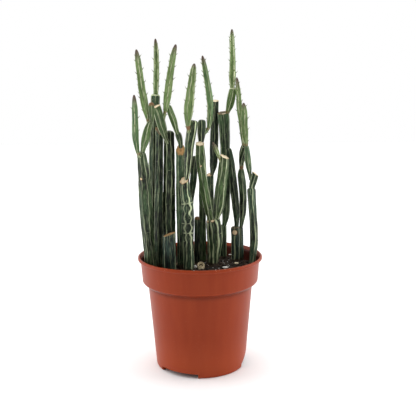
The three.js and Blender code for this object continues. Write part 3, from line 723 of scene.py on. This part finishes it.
def make_stem(name, seed):
    """One stem with its ribs, lines, leaves, cut face or rounded top, as one mesh object."""
    look = CHARACTER[name]
    rng = np.random.default_rng(seed)
    fine, axis_points, axis_radii = smooth_axis(name)
    total = fine[-1]
    rows = max(int(total / ROW), 8)
    columns = THICK_SIDES if axis_radii.max() > THIN_RADIUS else THIN_SIDES
    bearings = -math.pi + 2 * math.pi * np.arange(columns) / columns
    lengths = np.linspace(0, total, rows)
    centres = np.stack([np.interp(lengths, fine, axis_points[:, k]) for k in range(3)], 1)
    radius = np.interp(lengths, fine, axis_radii)
    if look["tip"]:
        blunt = np.clip((lengths - (total - TIP_LENGTH)) / TIP_LENGTH, 0, 1)
        wide = radius[np.argmax(blunt > 0)]
        radius = np.where(blunt > 0, np.maximum(radius, wide * (1 - 0.6 * blunt**3.2)), radius)
    tangents = unit(np.gradient(centres, axis=0))
    fronts = unit(FORWARD - (tangents @ FORWARD)[:, None] * tangents)
    rights = np.cross(tangents, fronts)

    distance, strength, shape, thorns = pattern(bearings, lengths, radius, look, rng)
    lumps = 0.02 * np.sin(lengths / MM / rng.uniform(6, 11) + rng.uniform(0, 6))
    lumps = lumps + 0.012 * np.sin(lengths / MM / rng.uniform(2, 3.5) + rng.uniform(0, 6))
    reach = radius[:, None] * shape * (1 + lumps[:, None])
    cut = look["dry"] is not None
    if not cut:
        round_off = np.clip((lengths - (total - ROUND_OFF)) / ROUND_OFF, 0, 1)
        reach = reach * np.sqrt(1 - 0.4 * round_off[:, None] ** 2)
    ahead = np.cos(bearings)[None, :, None] * fronts[:, None]
    aside = np.sin(bearings)[None, :, None] * rights[:, None]
    arms = ahead + aside
    surface = centres[:, None] + arms * reach[..., None]

    normal, top = AXES[name]["normal"], tangents[-1]
    slope = -(arms[-1] @ normal) / (top @ normal)
    if cut:
        slide = slope * reach[-1]
        zone = 1.6 * np.abs(slide).max() + 1 * MM
        share = np.clip((lengths - (total - zone)) / zone, 0, 1)[:, None]
        surface = surface + (share * slide[None, :])[..., None] * tangents[:, None]
    wounds = wound_field(look["wounds"], surface, centres, fronts, rights, lengths)
    surface = surface + arms * (np.minimum(wounds, 0.4) * 0.5 * MM)[..., None]

    from_top = (total - lengths)[:, None] / MM + 0 * distance
    from_foot = lengths[:, None] / MM + 0 * distance
    rooted = np.linalg.norm(AXES[name]["centres"][0] - axis_points[0]) / MM
    if look["rim"]:
        distance = np.where(from_top < look["rim"], np.minimum(distance, 0.3), distance)
        strength = np.where(from_top < look["rim"], 1.0, strength)
    blotch = 0.12 * np.sin(lengths / MM / 9 + rng.uniform(0, 6))[:, None]
    light = look["light"] + blotch + 0 * distance
    blue = look["blue"] + blotch + 0 * distance
    cork = look["cork_top"] * np.exp(-((from_top / 3.0) ** 2))
    if look["parent"]:
        cork = np.maximum(cork, look["cork_foot"] * np.exp(-(((from_foot - rooted) / 2.6) ** 2)))
    tip = np.clip(1.15 - from_top / look["tip"], 0, 1) if look["tip"] else 0 * distance
    dust = 0 * distance
    if look["dust"]:
        dust = np.clip(1.2 - (from_foot - BURIED) / (DUST_REACH * look["dust"]), 0, 1)
    straight = np.stack([reach * np.cos(bearings), reach * np.sin(bearings), from_foot * MM], 2)
    straight = straight + seed * NOISE_STEP

    points = list(surface.reshape(-1, 3))
    fields = {
        "line": list(distance.ravel()),
        "wound": list(wounds.ravel()),
        "look": list(np.stack([strength, blue, light], 2).reshape(-1, 3)),
        "stain": list(np.stack([cork, tip, dust], 2).reshape(-1, 3)),
        "straight": list(straight.reshape(-1, 3)),
    }
    faces, cut_faces = [], []
    for i in range(rows - 1):
        for j in range(columns):
            a, b = i * columns + j, i * columns + (j + 1) % columns
            faces.append((a, b, b + columns, a + columns))

    def store(place, line, looks, stains, spot, fresh=0.0):
        points.append(place)
        fields["line"].append(line)
        fields["wound"].append(fresh)
        fields["look"].append(looks)
        fields["stain"].append(stains)
        fields["straight"].append(spot + seed * NOISE_STEP)
        return len(points) - 1

    last = (rows - 1) * columns
    rise = max(AXES[name]["rise"], 0.6 * MM)
    previous = [last + j for j in range(columns)]
    end_look = (look["dry"], 0.0, 0.0) if cut else (look["strength"] * 0.6, look["blue"], look["light"])
    end_stain = (look["cork_top"], 1.0 if look["tip"] else 0.0, 0.0)
    for ring in range(1, CAP_RINGS + 1):
        t = 1 - ring / CAP_RINGS
        count = columns if t else 1
        current = []
        for j in range(count):
            arm = arms[-1, j] * reach[-1, j] * t
            if cut:
                dish = -0.5 * MM * (1 - t**2) + 0.22 * MM * noise.noise(Vector(arm * 900 + seed))
                rim = 0.25 * MM if ring == 1 else 0.0
                lift = slope[j] * reach[-1, j] * t + dish + rim
            else:
                lift = rise * (1 - t**2)
            place = centres[-1] + arm + top * lift
            out = reach[-1, j] * t
            spot = np.array([out * math.cos(bearings[j]), out * math.sin(bearings[j]), total])
            line = t if cut else distance[-1, j] * max(t, 0.3)
            fresh = 0.0
            if look["spot"]:
                bearing, size = math.radians(look["spot"][0]), look["spot"][1] * MM
                middle = 0.5 * radius[-1] * np.array([math.cos(bearing), math.sin(bearing), 0])
                away = np.linalg.norm((spot - (0, 0, total) - middle) * (1.5, 0.9, 1))
                fresh = max(1.2 - away / (0.5 * size), 0)
            current.append(store(place, line, end_look, end_stain, spot, fresh))
        for j in range(columns):
            k = (j + 1) % columns
            if t:
                face = (previous[j], previous[k], current[k], current[j])
            else:
                face = (previous[j], previous[k], current[0])
            (cut_faces if cut else faces).append(face)
        previous = current
    foot = store(centres[0], 1.0, end_look, (0.0, 0.0, 1.0), np.zeros(3))
    faces += [(foot, (j + 1) % columns, j) for j in range(columns)]

    for along, bearing in thorns:
        lowest = BARE_BURIED if look["dust"] else BARE_FOOT
        if total - along < BARE_TOP or along < lowest:
            continue
        row = int(np.argmin(np.abs(lengths - along)))
        out = math.cos(bearing) * fronts[row] + math.sin(bearing) * rights[row]
        column = int(round((bearing + math.pi) / (2 * math.pi) * columns)) % columns
        root = centres[row] + out * reach[row, column]
        leaf = look["thorn"] * MM * rng.uniform(0.6, 1.25)
        leaf_points, leaf_faces = thorn_mesh(root, out, tangents[row], leaf)
        start = len(points)
        for place in leaf_points:
            brown = min(np.linalg.norm(place - root) / leaf, 1) * 0.5 + 0.25
            store(place, 3.0, (0.0, 0.0, 0.75), (0.0, brown, 0.0), place)
        faces += [tuple(start + corner for corner in face) for face in leaf_faces]

    mesh = new_mesh(name + "_fine", [tuple(place) for place in points], faces + cut_faces)
    skins = {"old": old_skin, "young": young_skin}
    mesh.materials.append(skins[look["skin"]])
    mesh.materials.append(cut_flesh)
    which = np.zeros(len(mesh.polygons), np.int32)
    which[len(faces):] = 1
    mesh.polygons.foreach_set("material_index", which)
    mesh.shade_smooth()
    if cut:
        rims = {tuple(sorted((last + j, last + (j + 1) % columns))) for j in range(columns)}
        sharp = mesh.attributes.new("sharp_edge", "BOOLEAN", "EDGE")
        for edge in mesh.edges:
            if tuple(sorted(edge.vertices)) in rims:
                sharp.data[edge.index].value = True
    for field in ("line", "wound"):
        made = mesh.attributes.new(field, "FLOAT", "POINT")
        made.data.foreach_set("value", np.array(fields[field], np.float32))
    for field in ("look", "stain"):
        colours = np.concatenate([np.clip(fields[field], 0, 1), np.ones((len(points), 1))], 1)
        made = mesh.attributes.new(field, "FLOAT_COLOR", "POINT")
        made.data.foreach_set("color", colours.astype(np.float32).ravel())
    made = mesh.attributes.new("straight", "FLOAT_VECTOR", "POINT")
    made.data.foreach_set("vector", np.array(fields["straight"], np.float32).ravel())
    mesh.update()
    return place_piece(name + "_fine", mesh, name)


def place_piece(piece_name, mesh, node):
    """Links a mesh as a piece that rides on the plant and stands for a node of the frame."""
    piece = linked(piece_name, mesh)
    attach(piece, "root")
    if node:
        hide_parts(node)
    return piece


stem_pieces = [make_stem(name, seed) for seed, name in enumerate(sorted(CHARACTER), 1)]
print("stems made:", len(stem_pieces), "faces:", sum(len(piece.data.polygons) for piece in stem_pieces))

# %% [markdown]
# ## Pot
# The pot is injection-moulded in one piece: a tapering wall, a step, a deep collar and a rolled lip. Turning
# its outline about the middle gives the wall, and the recesses and drain holes in its foot are cut out of
# that, as the mould's cores would do. Small arcs in the outline round every edge that the mould would round.

# %% Outline of the pot
LIP_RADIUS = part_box("pot")[1].x
POT_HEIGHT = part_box("pot")[1].z
LIP_HEIGHT = 3.0 * MM
COLLAR_TOP = LIP_RADIUS - 2.5 * MM
COLLAR_FOOT = LIP_RADIUS - 4.1 * MM
COLLAR_FOOT_Z = 84 * MM
STEP_RADIUS = 52.3 * MM
STEP_Z = 81 * MM
BODY_TOP = 50.6 * MM
BODY_FOOT = 44.4 * MM
BODY_FOOT_Z = 8 * MM
FOOT_RADIUS = 42.9 * MM
FOOT_RING = 2.9 * MM
WALL = 1.2 * MM
PLATE_Z = 4.5 * MM
PLATE_THICKNESS = 1.5 * MM
POT_SIDES = 180
RECESSES = {0: 12.5 * MM, 120: 4.5 * MM, 240: 4.5 * MM}  # bearing from +X in degrees: height
RECESS_HALF = 27
RECESS_SLOPE = 18
RECESS_SIDE_Z = 4.2 * MM
RECESS_DEPTH = 39.5 * MM
DRAINS = 6
DRAIN_RADIUS = 3 * MM
DRAIN_CIRCLE = 24 * MM
DRAIN_FROM = -2 * MM
DRAIN_TO = 9 * MM
DRAIN_SIDES = 32


def rounded(outline, radius, steps=5):
    """Rounds each inner corner with an arc of about `radius`, or smaller where there is no room."""
    corners = [Vector(point) for point in outline]
    points = [corners[0]]
    for before, corner, after in zip(corners, corners[1:], corners[2:]):
        back, ahead = before - corner, after - corner
        room = min(radius, 0.45 * back.length, 0.45 * ahead.length)
        start, end = corner + back.normalized() * room, corner + ahead.normalized() * room
        for k in range(steps + 1):
            t = k / steps
            points.append((1 - t) ** 2 * start + 2 * t * (1 - t) * corner + t**2 * end)
    return points + [corners[-1]]


def turned(outline, name, sides=POT_SIDES):
    """A closed solid, turned about Z from an outline that starts and ends on the axis."""
    points = [(0, 0, outline[0][1])]
    inner = outline[1:-1]
    for radius, z in inner:
        for k in range(sides):
            angle = 2 * math.pi * k / sides
            points.append((radius * math.cos(angle), radius * math.sin(angle), z))
    points.append((0, 0, outline[-1][1]))
    faces = []
    for k in range(sides):
        n = (k + 1) % sides
        faces.append((0, 1 + n, 1 + k))
        for ring in range(len(inner) - 1):
            a = 1 + ring * sides
            faces.append((a + k, a + n, a + sides + n, a + sides + k))
        a = 1 + (len(inner) - 1) * sides
        faces.append((len(points) - 1, a + k, a + n))
    return linked(name, new_mesh(name, points, faces))


def cut_out(solid, tool):
    """Cuts a tool out of a solid for good, and throws the tool away."""
    cutter = solid.modifiers.new("cut", "BOOLEAN")
    cutter.operation = "DIFFERENCE"
    cutter.object = tool
    cutter.solver = "EXACT"
    ready = solid.evaluated_get(bpy.context.evaluated_depsgraph_get())
    mesh = bpy.data.meshes.new_from_object(ready)
    solid.modifiers.clear()
    solid.data = mesh
    bpy.data.objects.remove(tool)


def recess_block(middle, top, shift):
    """The block that hollows one recess into the foot. `shift` grows it by the thickness of the wall."""
    half_width = RECESS_HALF + math.degrees(shift / FOOT_RADIUS)
    points, faces = [], []
    steps = 24
    for k in range(steps + 1):
        bearing = middle - half_width + 2 * half_width * k / steps
        rise = min((half_width - abs(bearing - middle)) / RECESS_SLOPE, 1)
        roof = shift + RECESS_SIDE_Z + (top - RECESS_SIDE_Z) * rise
        angle = math.radians(bearing)
        inner, outer = RECESS_DEPTH - shift, LIP_RADIUS
        for radius, z in ((inner, -MM), (outer, -MM), (outer, roof), (inner, roof)):
            points.append((radius * math.cos(angle), radius * math.sin(angle), z))
    for k in range(steps):
        for j in range(4):
            a, b = 4 * k + j, 4 * k + (j + 1) % 4
            faces.append((a, a + 4, b + 4, b))
    faces += [(0, 1, 2, 3), (4 * steps + 3, 4 * steps + 2, 4 * steps + 1, 4 * steps)]
    return linked("recess", new_mesh("recess", points, faces))


def make_pot():
    """The wall turned from its outline, with everything hollow cut out of it."""
    lip_foot = POT_HEIGHT - LIP_HEIGHT
    outside = turned(rounded([
        (0, 0), (FOOT_RADIUS, 0), (FOOT_RADIUS + 1 * MM, 1.2 * MM), (BODY_FOOT, BODY_FOOT_Z),
        (BODY_TOP, STEP_Z - 0.3 * MM), (STEP_RADIUS, STEP_Z), (COLLAR_FOOT, COLLAR_FOOT_Z),
        (COLLAR_TOP, lip_foot), (LIP_RADIUS, lip_foot), (LIP_RADIUS, POT_HEIGHT),
        (LIP_RADIUS - 2.7 * MM, POT_HEIGHT), (0, POT_HEIGHT),
    ], 1.1 * MM), "pot_fine")
    underside = turned([
        (0, -MM), (FOOT_RADIUS - FOOT_RING + 0.5 * MM, -MM), (FOOT_RADIUS - FOOT_RING, PLATE_Z), (0, PLATE_Z),
    ], "underside")
    floor_z = PLATE_Z + PLATE_THICKNESS
    inside = turned(rounded([
        (0, floor_z), (BODY_FOOT - WALL, floor_z), (BODY_TOP - WALL, STEP_Z),
        (COLLAR_FOOT - WALL, COLLAR_FOOT_Z + 0.5 * MM), (COLLAR_TOP - WALL, lip_foot - MM),
        (COLLAR_TOP + 0.3 * MM, POT_HEIGHT - MM), (COLLAR_TOP + 1.3 * MM, POT_HEIGHT + MM),
        (0, POT_HEIGHT + MM),
    ], 1.4 * MM), "inside")
    cut_out(outside, underside)
    for middle, top in RECESSES.items():
        cut_out(outside, recess_block(middle, top, 0))
        cut_out(inside, recess_block(middle, top, WALL))
    cut_out(outside, inside)
    centres = [(0, 0)]
    for k in range(DRAINS):
        angle = 2 * math.pi * (k + 0.5) / DRAINS
        centres.append((DRAIN_CIRCLE * math.cos(angle), DRAIN_CIRCLE * math.sin(angle)))
    for x, y in centres:
        drain = turned([(0, DRAIN_FROM), (DRAIN_RADIUS, DRAIN_FROM), (DRAIN_RADIUS, DRAIN_TO), (0, DRAIN_TO)],
                       "drain", DRAIN_SIDES)
        drain.data.transform(Matrix.Translation((x, y, 0)))
        cut_out(outside, drain)
    return outside


pot = make_pot()
print("pot faces:", len(pot.data.polygons))

# %% [markdown]
# ## Plastic of the pot
# The plastic is terracotta-coloured and satin, with a very fine orange peel, faint flow marks that run up
# the wall and scuffs on the lip. Painted shade darkens the inside, the wall tucked under the collar and the
# inside of the foot, and painted light makes the wall paler towards the foot. A satin plastic reflects the
# bright surround most where it turns away from the eye, which the Principled surface gives by itself.

# %% Pot finish
FADE_FROM = 45 * MM  # painted light: the wall is painted paler from this height down to FADE_TO
FADE_TO = 5 * MM
FOOT_INSIDE = 41.2 * MM  # within this radius, and below FOOT_SHADE_TOP, shade is painted on the foot
FOOT_SHADE_TOP = 12 * MM
SHADE_EDGE = 5 * MM  # how far the painted shade under the collar reaches down the wall


def make_pot_finish():
    finish = Finish("terracotta_plastic", 0.4, {"Specular IOR Level": 0.16})
    place = finish.place()
    flow = finish.noise(finish.stretch(place, (1, 1, 0.12)), 6 * MM, 4.0)
    cloud = finish.noise(place, 25 * MM)
    colour = finish.mix(flow, chart(136, 47, 15), chart(154, 60, 24))
    colour = finish.over(colour, chart(128, 42, 12), cloud, 0.3)
    scuff = finish.step(finish.noise(finish.stretch(place, (0.5, 0.5, 1)), 1.2 * MM, 5.0), 0.64, 0.74)
    height = finish.node("SeparateXYZ", {"Vector": place}).outputs["Z"]
    lip = finish.step(height, POT_HEIGHT - 4 * MM, POT_HEIGHT - MM)
    wear = finish.math("MULTIPLY", scuff, finish.math("ADD", finish.math("MULTIPLY", lip, 0.5), 0.08))
    colour = finish.mix(wear, colour, chart(214, 140, 110))
    centre = finish.node("VectorMath", {0: place, 1: (1, 1, 0)}, operation="MULTIPLY").outputs["Vector"]
    radius = finish.node("VectorMath", {0: centre}, operation="LENGTH").outputs["Value"]
    slope = (COLLAR_TOP - COLLAR_FOOT) / (POT_HEIGHT - LIP_HEIGHT - COLLAR_FOOT_Z)
    wall = COLLAR_FOOT - COLLAR_FOOT_Z * slope
    lean = finish.math("SUBTRACT", radius, finish.math("MULTIPLY", height, slope))
    # painted shade on the inner wall, above the collar's foot
    within = finish.step(lean, wall - 0.35 * MM, wall - 0.9 * MM)
    above = finish.step(height, COLLAR_FOOT_Z, COLLAR_FOOT_Z + MM)
    colour = finish.over(colour, chart(52, 14, 9), finish.math("MULTIPLY", within, above), 0.85)
    # painted light: the wall is painted paler towards the foot
    colour = finish.over(colour, chart(176, 76, 40), finish.step(height, FADE_FROM, FADE_TO), 0.45)
    # painted shade on the wall just under the collar
    tucked = finish.math("MULTIPLY", finish.step(height, STEP_Z - SHADE_EDGE, STEP_Z), 0.5)
    tucked = finish.math("MULTIPLY", tucked, finish.step(height, COLLAR_FOOT_Z, COLLAR_FOOT_Z - MM))
    colour = finish.mix(tucked, colour, chart(70, 20, 8))
    # painted shade on the roofs and back walls of the recesses and under the foot
    inside = finish.step(radius, FOOT_INSIDE + MM, FOOT_INSIDE)
    under = finish.math("MULTIPLY", inside, finish.step(height, FOOT_SHADE_TOP + 2 * MM, FOOT_SHADE_TOP))
    colour = finish.over(colour, chart(44, 14, 8), under, 0.75)
    peel = finish.noise(place, 0.5 * MM)
    relief = finish.math("ADD", finish.math("MULTIPLY", peel, 0.5), flow)
    return finish.done(colour, relief, 0.03 * MM)


pot.data.materials.clear()
pot.data.materials.append(make_pot_finish())
pot.data.polygons.foreach_set("material_index", np.zeros(len(pot.data.polygons), np.int32))
pot.data.shade_smooth()
pot.data.set_sharp_from_angle(angle=math.radians(38))
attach(pot, "root")
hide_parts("pot")
print("pot finish:", pot.data.materials[0].name)

# %% [markdown]
# ## Peat
# Potting peat is near black when damp, and crumbly. A turned body fills the pot, its top is a fine grid
# that noise heaves up and down, and over two thousand small crumbs lie on it. Real crumbs cast real
# shadows, which no bump map does at this size. Each crumb keeps a shade of its own.

# %% Crumbs
CRUMB_FLATNESS = 0.75


def crumb_points(place, size, rng):
    """Corners of a rough little lump."""
    corners = np.array([corner.co[:] for corner in CRUMB.verts])
    corners *= size * rng.uniform(0.7, 1.25, (len(corners), 1))
    corners *= np.array([rng.uniform(0.8, 1.4), rng.uniform(0.7, 1.1), CRUMB_FLATNESS])
    angle = rng.uniform(0, 2 * math.pi)
    cos, sin = math.cos(angle), math.sin(angle)
    turn = np.array([[cos, -sin, 0], [sin, cos, 0], [0, 0, 1]])
    return corners @ turn.T + place


CRUMB = bmesh.new()
bmesh.ops.create_icosphere(CRUMB, subdivisions=1, radius=1)
CRUMB.verts.index_update()
CRUMB_FACES = [tuple(corner.index for corner in face.verts) for face in CRUMB.faces]


def scatter(points, faces, shades, spots, rng):
    """Adds a crumb for each (place, size) to a growing mesh, with its shade."""
    for place, size in spots:
        start = len(points)
        lump = crumb_points(np.array(place), size, rng)
        points.extend(map(tuple, lump))
        faces.extend(tuple(start + corner for corner in face) for face in CRUMB_FACES)
        shades.extend([rng.uniform()] * len(lump))


def shaded_mesh(name, points, faces, shades, finish):
    mesh = new_mesh(name, points, faces)
    mesh.attributes.new("shade", "FLOAT", "POINT").data.foreach_set("value", np.array(shades, np.float32))
    mesh.materials.append(finish)
    return mesh


print("faces of a crumb:", len(CRUMB_FACES))


# %% Peat surface
SOIL_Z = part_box("soil")[1].z
SOIL_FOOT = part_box("soil")[0].z
SOIL_EDGE = 54.4 * MM
LEVEL_TO = 46 * MM  # beyond this radius the peat falls away a little
BANK = 2.5 * MM  # how far the banking round a stem reaches
CRUMB_COUNT = 2800
PEAT_RINGS = 46
PEAT_SIDES = 120
ROOTED = [name for name in STEMS if AXES[name]["centres"][0][2] < SOIL_Z]
FEET = [(AXES[name]["centres"][0], AXES[name]["radii"][0]) for name in ROOTED]


def ground(x, y):
    """Height of the peat at a place, heaved by noise and banked up a little round each stem."""
    rough = noise.fractal(Vector((x, y, 0.3)) * 160, 1.0, 2.0, 4) * 1.5 * MM
    gaps = [max(math.hypot(x - foot[0], y - foot[1]) - wide, 0) for foot, wide in FEET]
    bank = sum(math.exp(-(gap / BANK)) for gap in gaps)
    edge = max(math.hypot(x, y) - LEVEL_TO, 0)
    return SOIL_Z - 0.6 * MM + rough + min(bank, 1) * 1.0 * MM - edge * 0.12


def make_peat_finish():
    finish = Finish("damp_peat", 0.95)
    shade = finish.math("ADD", finish.stored("shade"), finish.wander(finish.place(), 1.2 * MM, 0.35))
    colour = finish.mix(shade, chart(16, 12, 9), chart(78, 58, 42))
    fibre = finish.step(finish.noise(finish.place(), 0.9 * MM, 5.0), 0.66, 0.72)
    colour = finish.over(colour, chart(150, 118, 82), fibre, 0.6)
    return finish.done(colour, finish.noise(finish.place(), 0.6 * MM, 5.0), 0.5 * MM)


def make_peat():
    """A body that fills the pot, with a heaved top and loose crumbs on it, as one mesh."""
    rng = np.random.default_rng(7)
    sides = PEAT_SIDES
    points, faces = [(0, 0, ground(0, 0))], []
    outline = [(SOIL_EDGE * (k + 1) / PEAT_RINGS, None) for k in range(PEAT_RINGS)]
    wall = [(SOIL_EDGE, 90 * MM), (BODY_TOP - 1.5 * MM, STEP_Z - MM), (43 * MM, 15 * MM),
            (37.5 * MM, 14.2 * MM), (37.5 * MM, SOIL_FOOT)]
    for radius, z in outline + wall:
        for k in range(sides):
            angle = 2 * math.pi * k / sides
            x, y = radius * math.cos(angle), radius * math.sin(angle)
            points.append((x, y, ground(x, y) if z is None else z))
    points.append((0, 0, SOIL_FOOT))
    total = len(outline) + len(wall)
    for k in range(sides):
        n = (k + 1) % sides
        faces.append((0, 1 + k, 1 + n))
        for ring in range(total - 1):
            a = 1 + ring * sides
            faces.append((a + k, a + sides + k, a + sides + n, a + n))
        a = 1 + (total - 1) * sides
        faces.append((a + k, len(points) - 1, a + n))
    shades = list(rng.uniform(0, 0.4, len(points)))
    spots = []
    for _ in range(CRUMB_COUNT):
        radius, angle = (SOIL_EDGE - MM) * math.sqrt(rng.uniform()), rng.uniform(0, 2 * math.pi)
        x, y = radius * math.cos(angle), radius * math.sin(angle)
        size = rng.uniform(0.35, 1.0) * MM if rng.uniform() < 0.85 else rng.uniform(1.0, 1.9) * MM
        spots.append(((x, y, ground(x, y) + 0.3 * size), size))
    scatter(points, faces, shades, spots, rng)
    mesh = shaded_mesh("peat", points, faces, shades, make_peat_finish())
    return place_piece("peat", mesh, "soil")


peat = make_peat()
print("peat faces:", len(peat.data.polygons))

# %% [markdown]
# ## Perlite
# Perlite is expanded volcanic glass: white, matte lumps full of small pits. A finely divided ball, pushed
# in and out by two sizes of noise, reads as one. Smaller grains are scattered through the peat, and more of
# them at the right.

# %% Perlite lumps


def make_perlite_finish():
    finish = Finish("white_perlite", 0.95)
    pits = finish.noise(finish.place(), 0.5 * MM, 5.0)
    colour = finish.mix(finish.step(pits, 0.35, 0.6), chart(196, 190, 176), chart(250, 249, 245))
    return finish.done(colour, pits, 0.3 * MM)


perlite_finish = make_perlite_finish()


def lump(name, node, finish, slot, roughness=0.16, subdivisions=4):
    """A rough lump that fills the box of a node of the frame."""
    low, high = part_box(node)
    middle, reach = (low + high) / 2, (high - low) / 2
    shape = bmesh.new()
    bmesh.ops.create_icosphere(shape, subdivisions=subdivisions, radius=1)
    for corner in shape.verts:
        direction = corner.co.normalized()
        push = 1 + roughness * noise.noise(direction * 2.3 + middle * 900)
        push += 0.5 * roughness * noise.noise(direction * 6.0 + middle * 500)
        corner.co = middle + Vector([direction[k] * reach[k] * push * 1.05 for k in range(3)])
        corner.co.z = max(corner.co.z, low.z - 0.6 * MM)
    mesh = bpy.data.meshes.new(name)
    shape.to_mesh(mesh)
    shape.free()
    mesh.shade_smooth()
    mesh.materials.append(finish)
    return place_piece(name, mesh, node)


for side in ("left", "right", "back"):
    lump(f"perlite_{side}_fine", f"perlite_{side}", perlite_finish, "perlite")

# %% Perlite grains
# Each patch of grains: the x, the y and the spread of its places in millimetres, and how many there are.
GRAIN_PATCHES = ((3, 12, 3, 14), (30, 8, 9, 24), (24, -8, 6, 10), (0, 0, 40, 44), (-40, -26, 6, 6))
LITTER_EDGE = 52 * MM  # grains and moss stay within this radius

rng = np.random.default_rng(21)
grains, grain_faces, grain_shades, spots = [], [], [], []
for x_mm, y_mm, spread_mm, count in GRAIN_PATCHES:
    for _ in range(count):
        x = rng.normal(x_mm, spread_mm) * MM
        y = rng.normal(y_mm, spread_mm) * MM
        if math.hypot(x, y) < LITTER_EDGE:
            size = rng.uniform(0.25, 0.6) * MM
            spots.append(((x, y, ground(x, y) + 0.9 * MM), size))
scatter(grains, grain_faces, grain_shades, spots, rng)
grain_mesh = shaded_mesh("perlite_grains", grains, grain_faces, grain_shades, perlite_finish)
place_piece("perlite_grains", grain_mesh, None)
print("perlite grains:", len(spots))

# %% [markdown]
# ## Litter on the peat
# Between the stems lie the dry stump of a stem that was cut at the ground, a twig, a chip of bark and a patch
# of green moss crumbs. The stump is six-sided like many of the stems, with a thick beige rim, a dark hollow
# and what is left of the pith in the middle.

# %% Litter finishes


def make_dry_finish(name, dark, light, grain=0.6 * MM):
    finish = Finish(name, 0.9)
    fibres = finish.noise(finish.stretch(finish.place(), (1, 0.4, 1)), grain, 5.0)
    return finish.done(finish.mix(finish.step(fibres, 0.3, 0.7), dark, light), fibres, 0.3 * MM)


dry_rim = make_dry_finish("dry_rim", chart(150, 128, 92), chart(214, 200, 164))
dark_hollow = make_dry_finish("dark_hollow", chart(34, 26, 18), chart(92, 70, 44))
twig_finish = make_dry_finish("twig_bark", chart(110, 84, 60), chart(206, 180, 148))
chip_finish = make_dry_finish("bark_chip", chart(190, 168, 130), chart(240, 228, 198))
moss_finish = make_dry_finish("moss", chart(36, 58, 28), chart(112, 136, 82))

print("dry finishes:", [made.name for made in (dry_rim, dark_hollow, twig_finish, chip_finish, moss_finish)])

# %% Cut stump
STUMP_SIDES = 72
STUMP_LEAN = 30  # degrees that its cut leans
STUMP_FOOT = -2.5 * MM  # below the lowest point of its solid
HOLLOW_ROWS = (7, 8)  # the rows of faces that line the dark hollow


def make_stump():
    """A cut stem seen as rings: up the skin, over the rim, down the hollow and up the pith."""
    low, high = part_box("cut_stump")
    x, y = (low.x + high.x) / 2, (low.y + high.y) / 2
    reach = (high.x - low.x) / 2
    sides = STUMP_SIDES
    lean = math.tan(math.radians(STUMP_LEAN))
    rows = [(1.0, -2.5, 0), (1.02, 0.6, 0), (1.0, 2.2, 1), (0.96, 2.9, 1), (0.86, 3.15, 1), (0.74, 3.1, 1),
            (0.64, 2.7, 1), (0.56, 1.6, 1), (0.5, 0.7, 1), (0.36, 0.5, 1), (0.3, 1.4, 1), (0.18, 1.9, 1),
            (0.0, 2.0, 1)]
    points, faces, which = [], [], []
    for share, z_mm, leaning in rows:
        count = sides if share else 1
        for k in range(count):
            angle = 2 * math.pi * k / sides
            corner = 1 + 0.1 * (abs(((angle / (math.pi / 3)) % 1) - 0.5) * 2 - 0.5)
            ragged = 1 + 0.05 * noise.noise(Vector((math.cos(angle), math.sin(angle), share * 3)) * 3)
            wide = reach * share * corner * ragged
            dx, dy = wide * math.cos(angle), wide * math.sin(angle)
            z = low.z + z_mm * MM * 1.05 + leaning * lean * dy
            points.append((x + dx, y + dy, max(z, low.z + STUMP_FOOT)))
    for row in range(len(rows) - 2):
        for k in range(sides):
            a, b = row * sides + k, row * sides + (k + 1) % sides
            faces.append((a, b, b + sides, a + sides))
            which.append(int(row in HOLLOW_ROWS))
    a = (len(rows) - 2) * sides
    for k in range(sides):
        faces.append((a + k, a + (k + 1) % sides, len(points) - 1))
        which.append(0)
    faces.append(tuple(range(sides))[::-1])
    which.append(0)
    mesh = new_mesh("cut_stump_fine", points, faces)
    mesh.materials.append(dry_rim)
    mesh.materials.append(dark_hollow)
    mesh.polygons.foreach_set("material_index", which)
    mesh.shade_smooth()
    return place_piece("cut_stump_fine", mesh, "cut_stump")


stump = make_stump()
print("stump faces:", len(stump.data.polygons))

# %% Twig, chip and moss
TWIG_SIDES = 10
MOSS_COUNT = 130


def make_twig():
    """A crooked twig along the axis of its solid."""
    axis = axis_of("twig")
    centres, radii = axis["centres"], axis["radii"]
    share = np.linspace(0, len(centres) - 1, 26)
    path = np.stack([np.interp(share, np.arange(len(centres)), centres[:, k]) for k in range(3)], 1)
    wide = np.interp(share, np.arange(len(centres)), radii) * 0.8
    points, faces = [], []
    tangents = unit(np.gradient(path, axis=0))
    for i, (centre, reach) in enumerate(zip(path, wide)):
        side = unit(np.cross(tangents[i], [0, 0, 1.0]))
        up = np.cross(side, tangents[i])
        kink = 0.25 * MM * math.sin(i * 0.9)
        for k in range(TWIG_SIDES):
            angle = 2 * math.pi * k / TWIG_SIDES
            bump = 1 + 0.2 * noise.noise(Vector((i * 0.4, k * 0.6, 3)))
            across = side * (kink + reach * bump * math.cos(angle))
            points.append(tuple(centre + across + up * reach * bump * math.sin(angle)))
    for i in range(len(path) - 1):
        for k in range(TWIG_SIDES):
            a, b = i * TWIG_SIDES + k, i * TWIG_SIDES + (k + 1) % TWIG_SIDES
            faces.append((a, b, b + TWIG_SIDES, a + TWIG_SIDES))
    faces.append(tuple(range(TWIG_SIDES))[::-1])
    faces.append(tuple(len(points) - TWIG_SIDES + k for k in range(TWIG_SIDES)))
    mesh = new_mesh("twig_fine", points, faces)
    mesh.materials.append(twig_finish)
    mesh.shade_smooth()
    return place_piece("twig_fine", mesh, "twig")


make_twig()
lump("bark_chip_fine", "bark_chip", chip_finish, "bark", roughness=0.35)

rng = np.random.default_rng(33)
moss, moss_faces, moss_shades, spots = [], [], [], []
for _ in range(MOSS_COUNT):
    x = rng.normal(-25, 5.5) * MM
    y = rng.normal(-26, 4.5) * MM
    if math.hypot(x, y) < LITTER_EDGE:
        spots.append(((x, y, ground(x, y) + 0.7 * MM), rng.uniform(0.3, 0.9) * MM))
scatter(moss, moss_faces, moss_shades, spots, rng)
moss_mesh = shaded_mesh("moss_crumbs", moss, moss_faces, moss_shades, moss_finish)
place_piece("moss_crumbs", moss_mesh, None)
print("moss crumbs:", len(spots))
